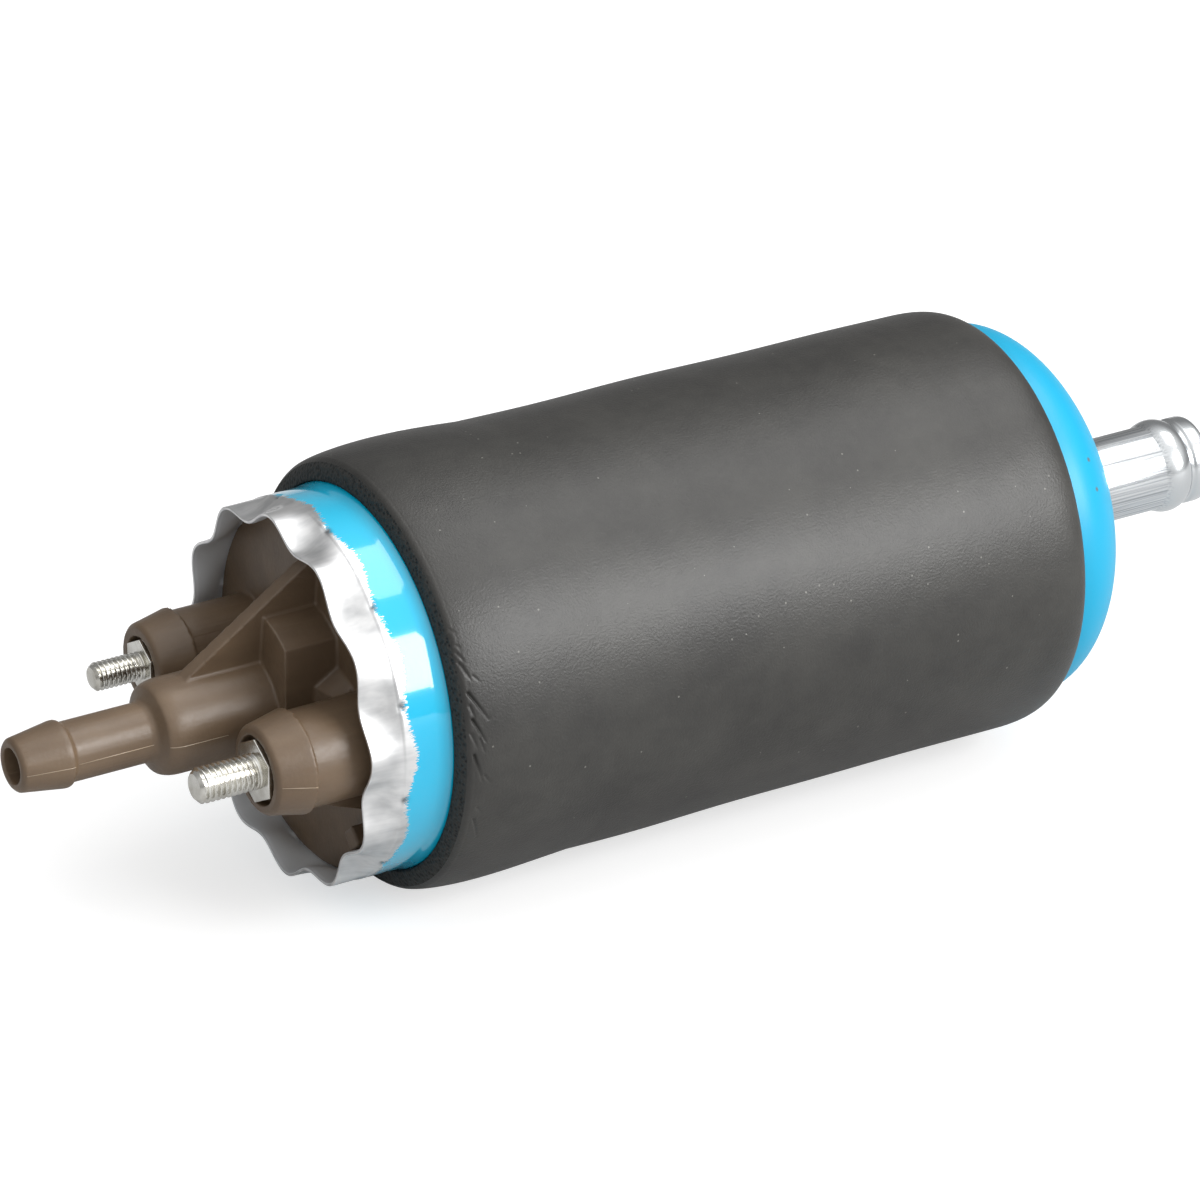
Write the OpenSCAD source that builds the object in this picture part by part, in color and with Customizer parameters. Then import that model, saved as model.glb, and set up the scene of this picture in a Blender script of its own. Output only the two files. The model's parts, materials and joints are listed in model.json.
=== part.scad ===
// Inline electric fuel pump: crimped aluminium can in a foam sleeve, moulded outlet
// head with two terminal studs, permanent magnet motor and gerotor pump cell.
// The pump axis is X. The outlet points to -X, the inlet to +X, and +Z is up.
// The origin is on the axis, at the middle of the foam sleeve, where a strap holds the pump.

/* [Can] */
// Outside diameter of the can body
can_d = 54; // [50:0.5:60]
// Wall thickness of the can
can_wall = 1.2; // [1:0.1:1.5]
// Length of the straight part of the can, from its shoulder to its dome
can_straight = 100.5; // [97:0.5:104]
// Depth of the domed inlet end
dome_h = 13.1; // [11.5:0.1:16]
// Corner radius at the shoulder behind the crimp
shoulder_r = 3; // [2:0.5:4]
// Distance from the shoulder to the face that the crimp grips
mouth_len = 8; // [7:0.5:9]

/* [Crimped rim] */
// How far the mouth is drawn in from the can's body, on the radius
rim_draw = 0.4; // [0.2:0.1:1]
// Number of flutes pressed round the rim
rim_flutes = 12; // [10:1:14]
// Depth of a flute at the front edge
flute_depth = 2.2; // [1.4:0.1:2.6]
// Length of the fluted skirt
rim_len = 5; // [4:0.5:6]
// Clocking of the first lobe from +Y
flute_angle = 27; // [0:1:30]

/* [Foam sleeve] */
// Length of the foam sleeve
foam_len = 99.4; // [94:0.2:101]
// Thickness of the foam
foam_t = 3.1; // [2:0.1:5]
// How far the foam stands out over the crimp shoulder, as a bulge
foam_bulge = 0.7; // [0.2:0.05:1.2]

/* [Outlet head] */
// Shank diameter of the outlet barb
barb_shank_d = 8.3; // [7.5:0.1:9]
// Largest diameter of the outlet barb
barb_d = 9.3; // [9:0.1:10.5]
// Bore of the outlet barb
outlet_bore_d = 5; // [4:0.1:5.5]
// Length of the barb cone
barb_len = 8.4; // [7:0.2:10]
// Length of the shank behind the barb
shank_len = 11.4; // [8:0.2:14]
// Diameter of the central tower
tower_d = 13.3; // [12.6:0.1:15]
// Height of the tower over the head face
tower_h = 24.4; // [22:0.2:28]
// Diameter of the rounded block between the tower and the web
block_d = 27.6; // [24:0.2:30]
// Distance of the block's flat side from the pump axis
block_side = 8.2; // [7.7:0.1:8.6]
// Height of the block
block_h = 8; // [6:0.5:10]
// Clocking of the thin web from +Y
web_angle = 98.5; // [92:0.5:108]
// Thickness of the web between tower and rim
web_t = 2.1; // [1.2:0.1:2.6]
// Distance of the web's middle plane from the pump axis
web_offset = 0.8; // [0:0.1:1.5]
// Thickness of the gussets under the bosses
rib_t = 1.5; // [1:0.1:2]

/* [Terminals] */
// Distance of each terminal stud from the pump axis
stud_offset = 16.4; // [15.9:0.1:17]
// Turn of the terminal line about the pump axis
stud_angle = 2.3; // [0:0.1:8]
// Height of the terminal bosses over the head face
boss_h = 17; // [15:0.5:20]
// Height of the flared collar at the end of a boss
collar_h = 5.5; // [4:0.5:7]
// Thread diameter of the positive stud
pos_stud_d = 5; // [4:0.5:6]
// Length of the positive stud over its flange
pos_stud_len = 8.9; // [7:0.2:12]
// Boss diameter of the positive terminal
pos_boss_d = 13.5; // [12.6:0.1:14]
// Thread diameter of the negative stud
neg_stud_d = 4; // [3:0.5:5]
// Length of the negative stud over its flange
neg_stud_len = 7.2; // [6:0.2:10]
// Boss diameter of the negative terminal
neg_boss_d = 12.5; // [11:0.1:13.4]

/* [Inlet] */
// Outside diameter of the inlet spigot
inlet_d = 12.1; // [11:0.1:13]
// Bore of the inlet spigot
inlet_bore_d = 9.6; // [8:0.1:10]
// Length of the inlet spigot outside the dome
inlet_len = 21.3; // [18:0.1:25]
// Diameter of the bead that keeps the hose on
bead_d = 13.4; // [12.8:0.1:14.2]

/* [Motor] */
// Diameter of the armature shaft
shaft_d = 6; // [5:0.5:7]
// Diameter of the lamination stack
core_d = 33.2; // [30:0.2:33.6]
// Length of the lamination stack
core_len = 38; // [30:1:40]
// Number of slots in the stack
core_slots = 8; // [6:1:10]
// Air gap between the stack and the magnets
air_gap = 0.6; // [0.4:0.05:0.8]
// Thickness of the flux ring
flux_t = 2.6; // [2:0.1:3]
// Angle that each magnet covers
magnet_angle = 134; // [120:1:140]
// Commutator diameter
comm_d = 18; // [16:0.5:20]
// Brush size along the shaft
brush_w = 6; // [5:0.2:7]
// Brush size across the shaft
brush_t = 4.6; // [4:0.1:5]
// Brush length
brush_len = 6; // [5:0.5:6.5]

/* [Pump cell] */
// Teeth of the outer rotor, one more than the inner rotor has
outer_teeth = 7; // [7:1:7]
// Radius of the circle that the outer rotor's teeth stand on
tooth_circle_r = 14; // [13.6:0.1:14.2]
// Radius of one outer tooth
tooth_r = 4.5; // [4.2:0.1:4.7]
// Offset between the two rotor axes
rotor_offset = 1.4; // [1.3:0.02:1.44]
// Width of the rotors
rotor_w = 10; // [8:0.5:10]
// Outside diameter of the outer rotor
outer_rotor_d = 36; // [35.4:0.1:36.6]

/* [Fits] */
// Radial running clearance of shafts and rotors
run_fit = 0.05; // [0.03:0.01:0.08]
// Small gap between parts that only lie against each other
lay_fit = 0.1; // [0.05:0.01:0.2]

/* [Hidden] */
$fn = 72;

// Colours as photographed or as the material has them
blue_coat = "#00a0d8";
bare_aluminium = "#c9cccf";
foam_black = "#3f3e3b";
head_brown = "#6b5a4d";
zinc_plate = "#b9b6a8";
dark_steel = "#6f7478";
ferrite = "#3a3a3c";
copper = "#b87333";
bronze = "#a8814e";
carbon = "#2e2e30";
nylon = "#d8d2c0";
rubber_black = "#202022";

// Stations along X
foam_front = -foam_len / 2;
shoulder_x = foam_front + 1;
head_face = shoulder_x - mouth_len;
dome_x = shoulder_x + can_straight;
pole_x = dome_x + dome_h;
tower_top = head_face - tower_h;
shank_front = tower_top - shank_len;
barb_tip = shank_front - barb_len;
boss_front = head_face - boss_h;

// Radii of the can
can_r = can_d / 2;
can_in = can_r - can_wall;
rim_r = can_r - rim_draw;
rim_in = rim_r - can_wall;

// The head: disc, skirt, hub and the sealing groove
head_disc_t = 5;
head_back = head_face + head_disc_t;
head_r = rim_in - lay_fit;
skirt_len = 4.5;
skirt_t = 3.4;
groove_w = 2;
groove_d = 1.3;
groove_x = head_face + 1.6;
hub_d = 19;
hub_back = head_back + skirt_len + 1;
pocket_r = 5.6;
bush_len = 5;
valve_r = 4.4;
valve_len = 13;
seat_t = 4;
seat_x = head_face - 3;
seat_hole_r = 2.2;
valve_disc_t = 2;
valve_front = seat_x - valve_len;

// Terminal details
flange_out = 0.3;
recess_d = 1.6;
pos_flange_r = 4.7;
neg_flange_r = 3.9;
collar_flare = 1;
collar_step = 1.1;
stud_core_r = 1.6;

// The motor, from the brush gear to the pump cell
comm_len = 11;
riser_h = 1.2;
comm_x = hub_back + 1;
brush_x = comm_x + comm_len / 2;
holder_x = comm_x - 0.5;
holder_len = comm_len + 1;
holder_r = head_r - skirt_t - lay_fit;
core_x = comm_x + comm_len + 9;
flux_x = holder_x + holder_len + 0.3;
magnet_in = core_d / 2 + air_gap;
magnet_out = can_in - lay_fit - flux_t - lay_fit;
outlet_plate_t = 6;
outlet_plate_x = dome_x - 2 - 7 - rotor_w - outlet_plate_t;
flux_len = outlet_plate_x - flux_x - 1;
rotor_x = outlet_plate_x + outlet_plate_t;
inlet_plate_x = rotor_x + rotor_w;
inlet_plate_t = 7;
plate_r = can_in - lay_fit;
side_fit = 0.03;
tooth_fit = 0.06;
inner_teeth = outer_teeth - 1;
rotor_bore_r = 4.4;
screw_circle_r = (outer_rotor_d / 2 + rotor_offset + plate_r) / 2;
screw_r = 1.5;
screw_count = 4;
relief_at = -10.7;
relief_ball_r = 2.4;
relief_port_r = 1.7;
relief_port_len = 4.5;
relief_bore_r = relief_ball_r + 0.6;
relief_boss_r = 4.6;
relief_len = 9;
cap_x = inlet_plate_x + inlet_plate_t + relief_len - 1.5;
holder_wall = 1.5;
spring_stop = holder_r - holder_wall;
spring_gap = 0.05;
seat_gap = 0.03;

// Places a profile of radius and distance so that it turns about X
module turned(x = 0) {
    translate([x, 0, 0]) rotate([90, 0, 90]) rotate_extrude() children();
}

// Extrudes a section drawn in Y and Z along +X
module along(x, len) {
    translate([x, 0, 0]) rotate([90, 0, 90]) linear_extrude(len) children();
}

// A plain rod along X
module rod(x, len, r) {
    translate([x, 0, 0]) rotate([0, 90, 0]) cylinder(h = len, r = r);
}

// A rod that changes radius along X
module taper(x, len, r1, r2) {
    translate([x, 0, 0]) rotate([0, 90, 0]) cylinder(h = len, r1 = r1, r2 = r2);
}

// A tube along X
module tube(x, len, r_out, r_in) {
    difference() {
        rod(x, len, r_out);
        rod(x - 1, len + 2, r_in);
    }
}

// Moves a part from the pump axis to a terminal
module at_stud(side) {
    rotate([stud_angle, 0, 0]) translate([0, side * stud_offset, 0]) children();
}

// Smooth step from 0 to 1
function ease(t) = t * t * (3 - 2 * t);

// Dome outline: a quarter ellipse from the straight wall to the pole
function dome_arc(x0, depth, r, steps = 14) =
    [for (i = [0:steps]) [r * cos(90 * i / steps), x0 + depth * sin(90 * i / steps)]];

// Outline of the shoulder, eased from the mouth radius to the body radius
function shoulder_arc(r_mouth, r_body, steps = 6) =
    [for (i = [0:steps]) [
        r_mouth + (r_body - r_mouth) * ease(i / steps),
        shoulder_x - shoulder_r + shoulder_r * i / steps
    ]];

// Outer radius of the fluted skirt at angle a, with s from 0 at its root to 1 at its edge
function flute_r(a, s) =
    rim_r - lay_fit - flute_depth * sin(90 * s) * (1 - cos(rim_flutes * (a - flute_angle))) / 2;

// One ring of skirt points, drawn in by the given amount
function skirt_ring(s, inset, n) =
    [for (i = [0:n - 1]) let(a = 360 * i / n, r = flute_r(a, max(s, 0)) - inset)
        [head_face - s * rim_len, r * cos(a), r * sin(a)]];

// Fluted skirt that the crimping tool leaves: a wavy wall, rooted inside the can's own wall
module fluted_skirt() {
    n = rim_flutes * 8;
    root = -0.2;
    inset_root = can_wall * 0.3;
    rows = [0, 0.15, 0.35, 0.6, 0.97, 1];
    edge = 0.2;
    outer = [
        skirt_ring(root, inset_root, n),
        for (s = rows) skirt_ring(s, s == 1 ? edge : 0, n)
    ];
    inner = [
        skirt_ring(1, can_wall - edge, n),
        for (i = [len(rows) - 2:-1:0]) skirt_ring(rows[i], can_wall - lay_fit * 2, n),
        skirt_ring(root, can_wall - inset_root, n)
    ];
    rings = concat(outer, inner);
    count = len(rings);
    points = [for (ring = rings) each ring];
    faces = [
        for (k = [0:count - 1]) for (i = [0:n - 1])
            let(j = (i + 1) % n, k2 = (k + 1) % count)
            each [
                [k * n + i, k2 * n + j, k2 * n + i],
                [k * n + i, k * n + j, k2 * n + j]
            ]
    ];
    polyhedron(points, faces);
}

// Deep drawn can: mouth, eased shoulder, straight wall, elliptical dome and crimped skirt
module pump_can() {
    outer_dome = dome_arc(dome_x, dome_h, can_r);
    inner_dome = dome_arc(dome_x, dome_h - can_wall, can_in);
    inner_shoulder = shoulder_arc(rim_in, can_in);
    color(blue_coat) difference() {
        union() {
            turned() polygon(concat(
                [[rim_in, head_face], [rim_r, head_face]],
                shoulder_arc(rim_r, can_r),
                outer_dome,
                [for (i = [len(inner_dome) - 1:-1:0]) inner_dome[i]],
                [for (i = [len(inner_shoulder) - 1:-1:0]) inner_shoulder[i]]
            ));
            fluted_skirt();
        }
        rod(dome_x, dome_h + 5, inlet_d / 2);
    }
}

// Foam tube: rounded front edge, a bulge over the shoulder and a rear lip drawn in on the dome
module foam_sleeve() {
    r = can_r + foam_t;
    r_in = can_r + lay_fit / 2;
    edge = 1.6;
    bulge_len = 22;
    bulge_skew = 0.73;
    lip_roll = 6;
    lip_t = 1;
    fullness = 0.78;
    front = [for (a = [0:15:90])
        [r_in + (r - r_in) * sin(a), foam_front + edge - edge * cos(a)]];
    bulge = [for (t = [0.1:0.1:0.9])
        [r + foam_bulge * sin(180 * pow(t, bulge_skew)), foam_front + edge + t * bulge_len]];
    rear = [for (a = [0:15:90])
        [r_in + lip_t + (r - r_in - lip_t) * pow(cos(a), fullness),
         -foam_front - lip_roll * (1 - pow(sin(a), fullness))]];
    color(foam_black) turned() polygon(concat(
        front, bulge,
        [[r, foam_front + edge + bulge_len]], rear, [[r_in, -foam_front]]
    ));
}

// Outline of the barb, its shank and the rounded shoulder of the tower
module spout_outline() {
    tip = 0.5;
    barb_r = barb_d / 2;
    shank_r = barb_shank_d / 2;
    tower_r = tower_d / 2;
    nose_r = shank_r - 0.4;
    shoulder_len = 3.6;
    land = 0.7;
    back = shank_front - 0.6;
    polygon(concat(
        [[0, barb_tip], [nose_r - tip, barb_tip], [nose_r, barb_tip + tip]],
        [[barb_r, back - land], [barb_r, back], [barb_r - 0.15, back + 0.2], [shank_r, shank_front]],
        [[shank_r, tower_top - 1.2], [shank_r + 0.25, tower_top - 0.6]],
        [for (a = [0:15:90])
            [shank_r + 1.5 + (tower_r - shank_r - 1.5) * sin(a),
             tower_top + shoulder_len * (1 - cos(a)) * 0.8]],
        [[tower_r, seat_x - 2.6], [tower_r + 0.6, seat_x - 1.4],
         [tower_r + 0.6, head_face + 1], [0, head_face + 1]]
    ));
}

// One terminal boss: cylinder, step and the collar that flares towards it
module boss(side, boss_d) {
    chamfer = 0.5;
    r = boss_d / 2;
    front_r = r - collar_flare / 2;
    at_stud(side) {
        rod(boss_front + collar_h, boss_h - collar_h + 1, r);
        taper(boss_front + chamfer, collar_h - chamfer, front_r, r + collar_step / 2);
        taper(boss_front, chamfer, front_r - chamfer, front_r);
        translate([0, -rib_t / 2, -r - 3.6]) boss_rib(r + 3.6);
    }
}

// Thin gusset under a boss
module boss_rib(h) {
    translate([0, rib_t, 0]) rotate([90, 0, 0]) linear_extrude(rib_t)
        polygon([[head_face + 1, 0], [head_face, 0], [boss_front + collar_h + 1, 4],
                 [boss_front + collar_h + 1, h], [head_face + 1, h]]);
}

// Thin web from the tower out to the rim of the head
module web(angle, reach) {
    start = tower_top + 4.9;
    rotate([angle, 0, 0]) translate([0, 0, -web_t / 2 - web_offset]) linear_extrude(web_t)
        polygon([[start, 0], [start, tower_d / 2 - 0.1], [head_face, reach],
                 [head_face + 1, reach], [head_face + 1, 0]]);
}

// Rounded block in the corner between the web and the side of the head
module web_block() {
    intersection() {
        rod(head_face - block_h, block_h + 1, block_d / 2);
        translate([head_face - block_h, -block_side, 0]) cube([block_h + 1, block_d, block_d]);
        rotate([web_angle, 0, 0]) translate([head_face - block_h, 0, 0])
            cube([block_h + 1, block_d, block_d]);
    }
}

// Small lug on the head face, with the given middle, turn, size and height
module lug(radius, angle, turn, size, h) {
    rotate([angle, 0, 0]) translate([head_face - h, radius, 0]) rotate([turn, 0, 0])
        translate([0, -size[0] / 2, -size[1] / 2]) cube([h + 1, size[0], size[1]]);
}

module outlet_head() {
    hub_r = hub_d / 2;
    web_reach = head_r - 3.3;
    channels = 4;
    channel_w = 2;
    color(head_brown) difference() {
        union() {
            rod(head_face, head_disc_t, head_r);
            tube(head_back - 0.5, skirt_len + 0.5, head_r, head_r - skirt_t);
            rod(head_back - 0.5, hub_back - head_back + 0.5, hub_r);
            web_block();
            turned() spout_outline();
            web(web_angle, web_reach);
            boss(-1, pos_boss_d);
            boss(1, neg_boss_d);
            lug(block_d / 2 - 0.9, 152, 25, [5.2, 4.6], 2.6);
            lug(head_r - 3.8, -133, 0, [2.8, 3], 2);
        }
        tube(groove_x, groove_w, head_r + 1, head_r - groove_d);
        rod(barb_tip - 1, valve_front - barb_tip + 2, outlet_bore_d / 2);
        rod(valve_front, valve_len + 0.5, valve_r);
        rod(seat_x, hub_back - seat_x + 1, pocket_r);
        for (i = [0:channels - 1]) rotate([45 + 360 * i / channels, 0, 0])
            translate([seat_x + seat_t, 0, -channel_w / 2])
                cube([hub_back - seat_x, pocket_r + 1.6, channel_w]);
        stud_hole(-1, pos_flange_r);
        stud_hole(1, neg_flange_r);
    }
}

// Recess for a stud's flange, and the hole that its core passes through
module stud_hole(side, flange_r) {
    at_stud(side) {
        rod(boss_front - 1, recess_d + 1, flange_r + lay_fit);
        rod(boss_front, boss_h + head_disc_t + 1, stud_core_r + lay_fit / 2);
    }
}

// Sealing ring, squeezed to a rounded rectangle between the groove and the can
module head_o_ring() {
    r_in = head_r - groove_d;
    squeeze = lay_fit / 4;
    color(rubber_black) turned() polygon([
        [r_in, groove_x + 0.4], [r_in + 0.4, groove_x + squeeze],
        [rim_in - 0.4, groove_x + squeeze], [rim_in, groove_x + 0.4],
        [rim_in, groove_x + groove_w - 0.4], [rim_in - 0.4, groove_x + groove_w - squeeze],
        [r_in + 0.4, groove_x + groove_w - squeeze], [r_in, groove_x + groove_w - 0.4]
    ]);
}

// Terminal stud: thread blank, hexagonal flange, core through the boss and a nut inside
module terminal_stud(side, thread_d, thread_len, flange_r) {
    seat = boss_front + recess_d;
    nut_t = 2;
    nut_r = 3.4;
    flange_front = boss_front - flange_out;
    tip = flange_front - thread_len;
    chamfer = thread_d * 0.1;
    at_stud(side) {
        taper(tip, chamfer, thread_d / 2 - chamfer, thread_d / 2);
        rod(tip + chamfer, thread_len - chamfer + 0.2, thread_d / 2);
        translate([flange_front, 0, 0]) rotate([0, 90, 0])
            cylinder(h = seat - flange_front, r = flange_r, $fn = 6);
        rod(seat - 0.2, head_back + nut_t + 1 - seat, stud_core_r);
        translate([head_back, 0, 0]) rotate([0, 90, 0]) cylinder(h = nut_t, r = nut_r, $fn = 6);
    }
}

module positive_stud() {
    color(zinc_plate) terminal_stud(-1, pos_stud_d, pos_stud_len, pos_flange_r);
}

module negative_stud() {
    color(zinc_plate) terminal_stud(1, neg_stud_d, neg_stud_len, neg_flange_r);
}

// Turned spigot: flange inside the dome, plain tube, hose bead, neck and rounded end lip
module inlet_spigot() {
    r = inlet_d / 2;
    bead_r = bead_d / 2;
    end = pole_x + inlet_len;
    bead_x = end - 5.4;
    bead_w = 4.2;
    bead_land = 0.6;
    neck_r = r - 0.1;
    lip_r = r + 0.15;
    flange_r = 9;
    flange_t = 1.2;
    flange_x = dome_x + (dome_h - can_wall) * sqrt(1 - pow(flange_r / can_in, 2)) - lay_fit;
    color(bare_aluminium) difference() {
        turned() polygon(concat(
            [[0, flange_x - flange_t], [flange_r, flange_x - flange_t], [flange_r, flange_x],
             [r - lay_fit / 2, flange_x], [r - lay_fit / 2, pole_x], [r, pole_x],
             [r, bead_x - bead_w / 2]],
            [for (side = [-1, 1]) for (a = side < 0 ? [15:15:90] : [90:15:165])
                [r + (bead_r - r) * sin(a),
                 bead_x + side * bead_land / 2 - (bead_w - bead_land) / 2 * cos(a)]],
            [[neck_r, bead_x + bead_w / 2], [neck_r, bead_x + bead_w / 2 + 0.6],
             [lip_r, bead_x + bead_w / 2 + 1]],
            [for (a = [0:22.5:90]) [lip_r - 0.9 + 0.9 * cos(a), end - 1.4 + 1.4 * sin(a)]],
            [[0, end]]
        ));
        rod(flange_x - flange_t - 1, end - flange_x + flange_t + 2, inlet_bore_d / 2);
        taper(end - 0.6, 0.61, inlet_bore_d / 2, inlet_bore_d / 2 + 0.6);
    }
}

// Thimble strainer pushed into the spigot from inside the dome
module inlet_strainer() {
    r = inlet_bore_d / 2 - lay_fit / 2;
    wall = 0.5;
    len = 9;
    brim = 1;
    back = dome_x + dome_h - can_wall - 3.2;
    color(nylon) difference() {
        union() {
            rod(back, len, r);
            rod(back - brim, brim, r + 1.6);
        }
        rod(back - brim - 1, len + brim + 1 - wall, r - wall);
        for (i = [0:5]) rotate([60 * i, 0, 0]) translate([back + 1.5, 0, -1])
            cube([len - 3.5, r + 1, 2]);
    }
}

module flux_ring() {
    color(dark_steel) tube(flux_x, flux_len, can_in - lay_fit, can_in - lay_fit - flux_t);
}

// A sector of a ring round X, from angle a over the given sweep
module ring_sector(x, len, r_out, r_in, a, sweep) {
    translate([x, 0, 0]) rotate([90, 0, 90]) rotate([0, 0, a]) rotate_extrude(angle = sweep)
        translate([r_in, 0]) square([r_out - r_in, len]);
}

module magnet(middle) {
    ring_sector(flux_x + 2, flux_len - 4, magnet_out, magnet_in, middle - magnet_angle / 2,
        magnet_angle);
}

module magnet_upper() {
    color(ferrite) magnet(90);
}

module magnet_lower() {
    color(ferrite) magnet(-90);
}

// Bowed steel clips that push the two magnets apart and against the flux ring
module magnet_springs() {
    gap = 180 - magnet_angle;
    play = 0.6;
    leg = 3;
    inset = 6;
    clip_len = flux_len - 2 * inset;
    thickness = 0.8;
    color(dark_steel) for (side = [0, 180]) {
        ring_sector(flux_x + inset, clip_len, magnet_out, magnet_out - thickness,
            side - gap / 2 + play, gap - 2 * play);
        for (a = [side - gap / 2 + play, side + gap / 2 - play - leg])
            ring_sector(flux_x + inset, clip_len, magnet_out - thickness / 2, magnet_in + 1, a, leg);
    }
}

// Shaft between the two bushes, with a shorter end for the coupling
module armature_shaft() {
    start = hub_back - bush_len + 0.5;
    color(dark_steel) rod(start, rotor_x + 6 - start, shaft_d / 2);
}

// Section of one slot in the stack: round bottom and a narrow mouth
module slot_section() {
    slot_r = 2.7;
    mouth = 1.8;
    translate([core_d / 2 - 4.6, 0]) circle(slot_r);
    translate([core_d / 2 - 4.6, -mouth / 2]) square([6, mouth]);
}

module lamination_core() {
    color(dark_steel) along(core_x, core_len) difference() {
        circle(core_d / 2);
        circle(shaft_d / 2);
        for (i = [0:core_slots - 1]) rotate(360 * i / core_slots) slot_section();
    }
}

// Copper coils: one bundle in each slot, and a rounded head at each end of the stack
module windings() {
    bundle_r = 2.5;
    centre_r = core_d / 2 - 4.6;
    head_len = 6;
    color(copper) {
        for (end = [core_x - head_len, core_x + core_len]) turned() polygon([
            [shaft_d / 2 + 2, end], [centre_r + 1, end + 0.6], [centre_r + bundle_r, end + 2],
            [centre_r + bundle_r, end + head_len - 2], [centre_r + 1, end + head_len],
            [shaft_d / 2 + 2, end + head_len]
        ]);
        for (i = [0:core_slots - 1]) rotate([360 * i / core_slots, 0, 0])
            translate([0, centre_r, 0]) rod(core_x - 1, core_len + 2, bundle_r);
    }
}

// Copper segments on a moulded hub, parted by fine slots, with a riser for the coil ends
module commutator() {
    slot_w = 0.5;
    slot_d = 1;
    riser = 1.6;
    color(copper) difference() {
        union() {
            rod(comm_x, comm_len, comm_d / 2);
            rod(comm_x + comm_len - riser, riser, comm_d / 2 + riser_h);
        }
        rod(comm_x - 1, comm_len + 2, shaft_d / 2);
        for (i = [0:core_slots - 1]) rotate([360 * (i + 0.5) / core_slots, 0, 0])
            translate([comm_x - 1, comm_d / 2 - slot_d, -slot_w / 2])
                cube([comm_len + 2, slot_d + 3, slot_w]);
    }
}

module front_bush() {
    color(bronze) tube(hub_back - bush_len, bush_len, pocket_r, shaft_d / 2 + run_fit);
}

module rear_bush() {
    color(bronze) tube(outlet_plate_x, outlet_plate_t, shaft_d / 2 + 2.5, shaft_d / 2 + run_fit);
}

// Guide for the brush on one side: an open box, cut through the ring wall's inside
module brush_box(wall) {
    inner = comm_d / 2 + riser_h + 0.4;
    translate([brush_x - brush_w / 2 - wall, -brush_t / 2 - wall, inner])
        cube([brush_w + 2 * wall, brush_t + 2 * wall, holder_r - 1 - inner]);
}

module brush_channel() {
    translate([brush_x - brush_w / 2 - lay_fit, -brush_t / 2 - lay_fit, comm_d / 2 - 2])
        cube([brush_w + 2 * lay_fit, brush_t + 2 * lay_fit, spring_stop - comm_d / 2 + 2]);
}

module brush_holder() {
    wall = 1.2;
    color(nylon) difference() {
        union() {
            tube(holder_x, holder_len, holder_r, holder_r - holder_wall);
            for (turn = [0, 180]) rotate([turn, 0, 0]) brush_box(wall);
        }
        for (turn = [0, 180]) rotate([turn, 0, 0]) brush_channel();
    }
}

// Carbon brush with its face worn to the commutator
module brush() {
    color(carbon) difference() {
        translate([brush_x - brush_w / 2, -brush_t / 2, comm_d / 2 - 1])
            cube([brush_w, brush_t, brush_len + 1]);
        rod(comm_x - 1, comm_len + 2, comm_d / 2 + run_fit);
    }
}

module brush_upper() {
    brush();
}

module brush_lower() {
    rotate([180, 0, 0]) brush();
}

// Compression spring: one wire on a helix along +X, with its ends on flat rings
module coil_spring(len, coil_r, wire_r, turns) {
    sides = 6;
    per_turn = 12;
    steps = turns * per_turn;
    pitch = (len - 2 * wire_r) / turns;
    lead = atan(pitch / (2 * PI * coil_r));
    points = [for (i = [0:steps]) let(a = 360 * i / per_turn, x = wire_r + pitch * i / per_turn)
        for (k = [0:sides - 1]) let(
            b = 360 * k / sides,
            across = wire_r * cos(b),
            up = wire_r * sin(b))
        [x + up * cos(lead),
         (coil_r + across) * cos(a) + up * sin(lead) * sin(a),
         (coil_r + across) * sin(a) - up * sin(lead) * cos(a)]];
    faces = concat(
        [[for (k = [0:sides - 1]) k]],
        [for (i = [0:steps - 1]) for (k = [0:sides - 1])
            let(m = (k + 1) % sides, p = i * sides, q = (i + 1) * sides)
            each [[p + k, q + k, q + m], [p + k, q + m, p + m]]],
        [[for (k = [sides - 1:-1:0]) steps * sides + k]]
    );
    polyhedron(points, faces);
}

module brush_spring() {
    bottom = comm_d / 2 + brush_len + spring_gap;
    color(dark_steel) translate([brush_x, 0, bottom]) rotate([0, -90, 0])
        coil_spring(spring_stop - bottom - spring_gap, 1.6, 0.3, 5);
}

module brush_spring_upper() {
    brush_spring();
}

module brush_spring_lower() {
    rotate([180, 0, 0]) brush_spring();
}

// Two interference chokes lying against the holder ring, each a rod with a wound middle
module suppression_chokes() {
    rod_r = 1.6;
    coil_r = 2.1;
    at = holder_r - holder_wall - coil_r - lay_fit;
    color(copper) for (turn = [40, 220]) rotate([turn, 0, 0]) translate([0, at, 0]) {
        rod(holder_x, holder_len, rod_r);
        rod(holder_x + 2, holder_len - 4, coil_r);
    }
}

// Keyed collar between the shaft and the inner rotor
module key_section(r, key_w, key_r) {
    circle(r);
    translate([-key_r, -key_w / 2]) square([2 * key_r, key_w]);
}

module drive_coupling() {
    color(nylon) difference() {
        along(rotor_x + 0.5, 7) key_section(rotor_bore_r - lay_fit, 2.4, 5.4);
        rod(rotor_x, 6, shaft_d / 2);
    }
}

// Trochoid that stays in contact with every tooth of the outer rotor
function inner_profile(n, r, tooth, e, steps) =
    [for (i = [0:steps - 1]) let(
        t = 360 * i / steps,
        psi = atan2(sin((1 - n) * t), r / (e * n) - cos((1 - n) * t)))
        [r * cos(t) - tooth * cos(t + psi) - e * cos(n * t),
         -r * sin(t) + tooth * sin(t + psi) + e * sin(n * t)]];

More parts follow.
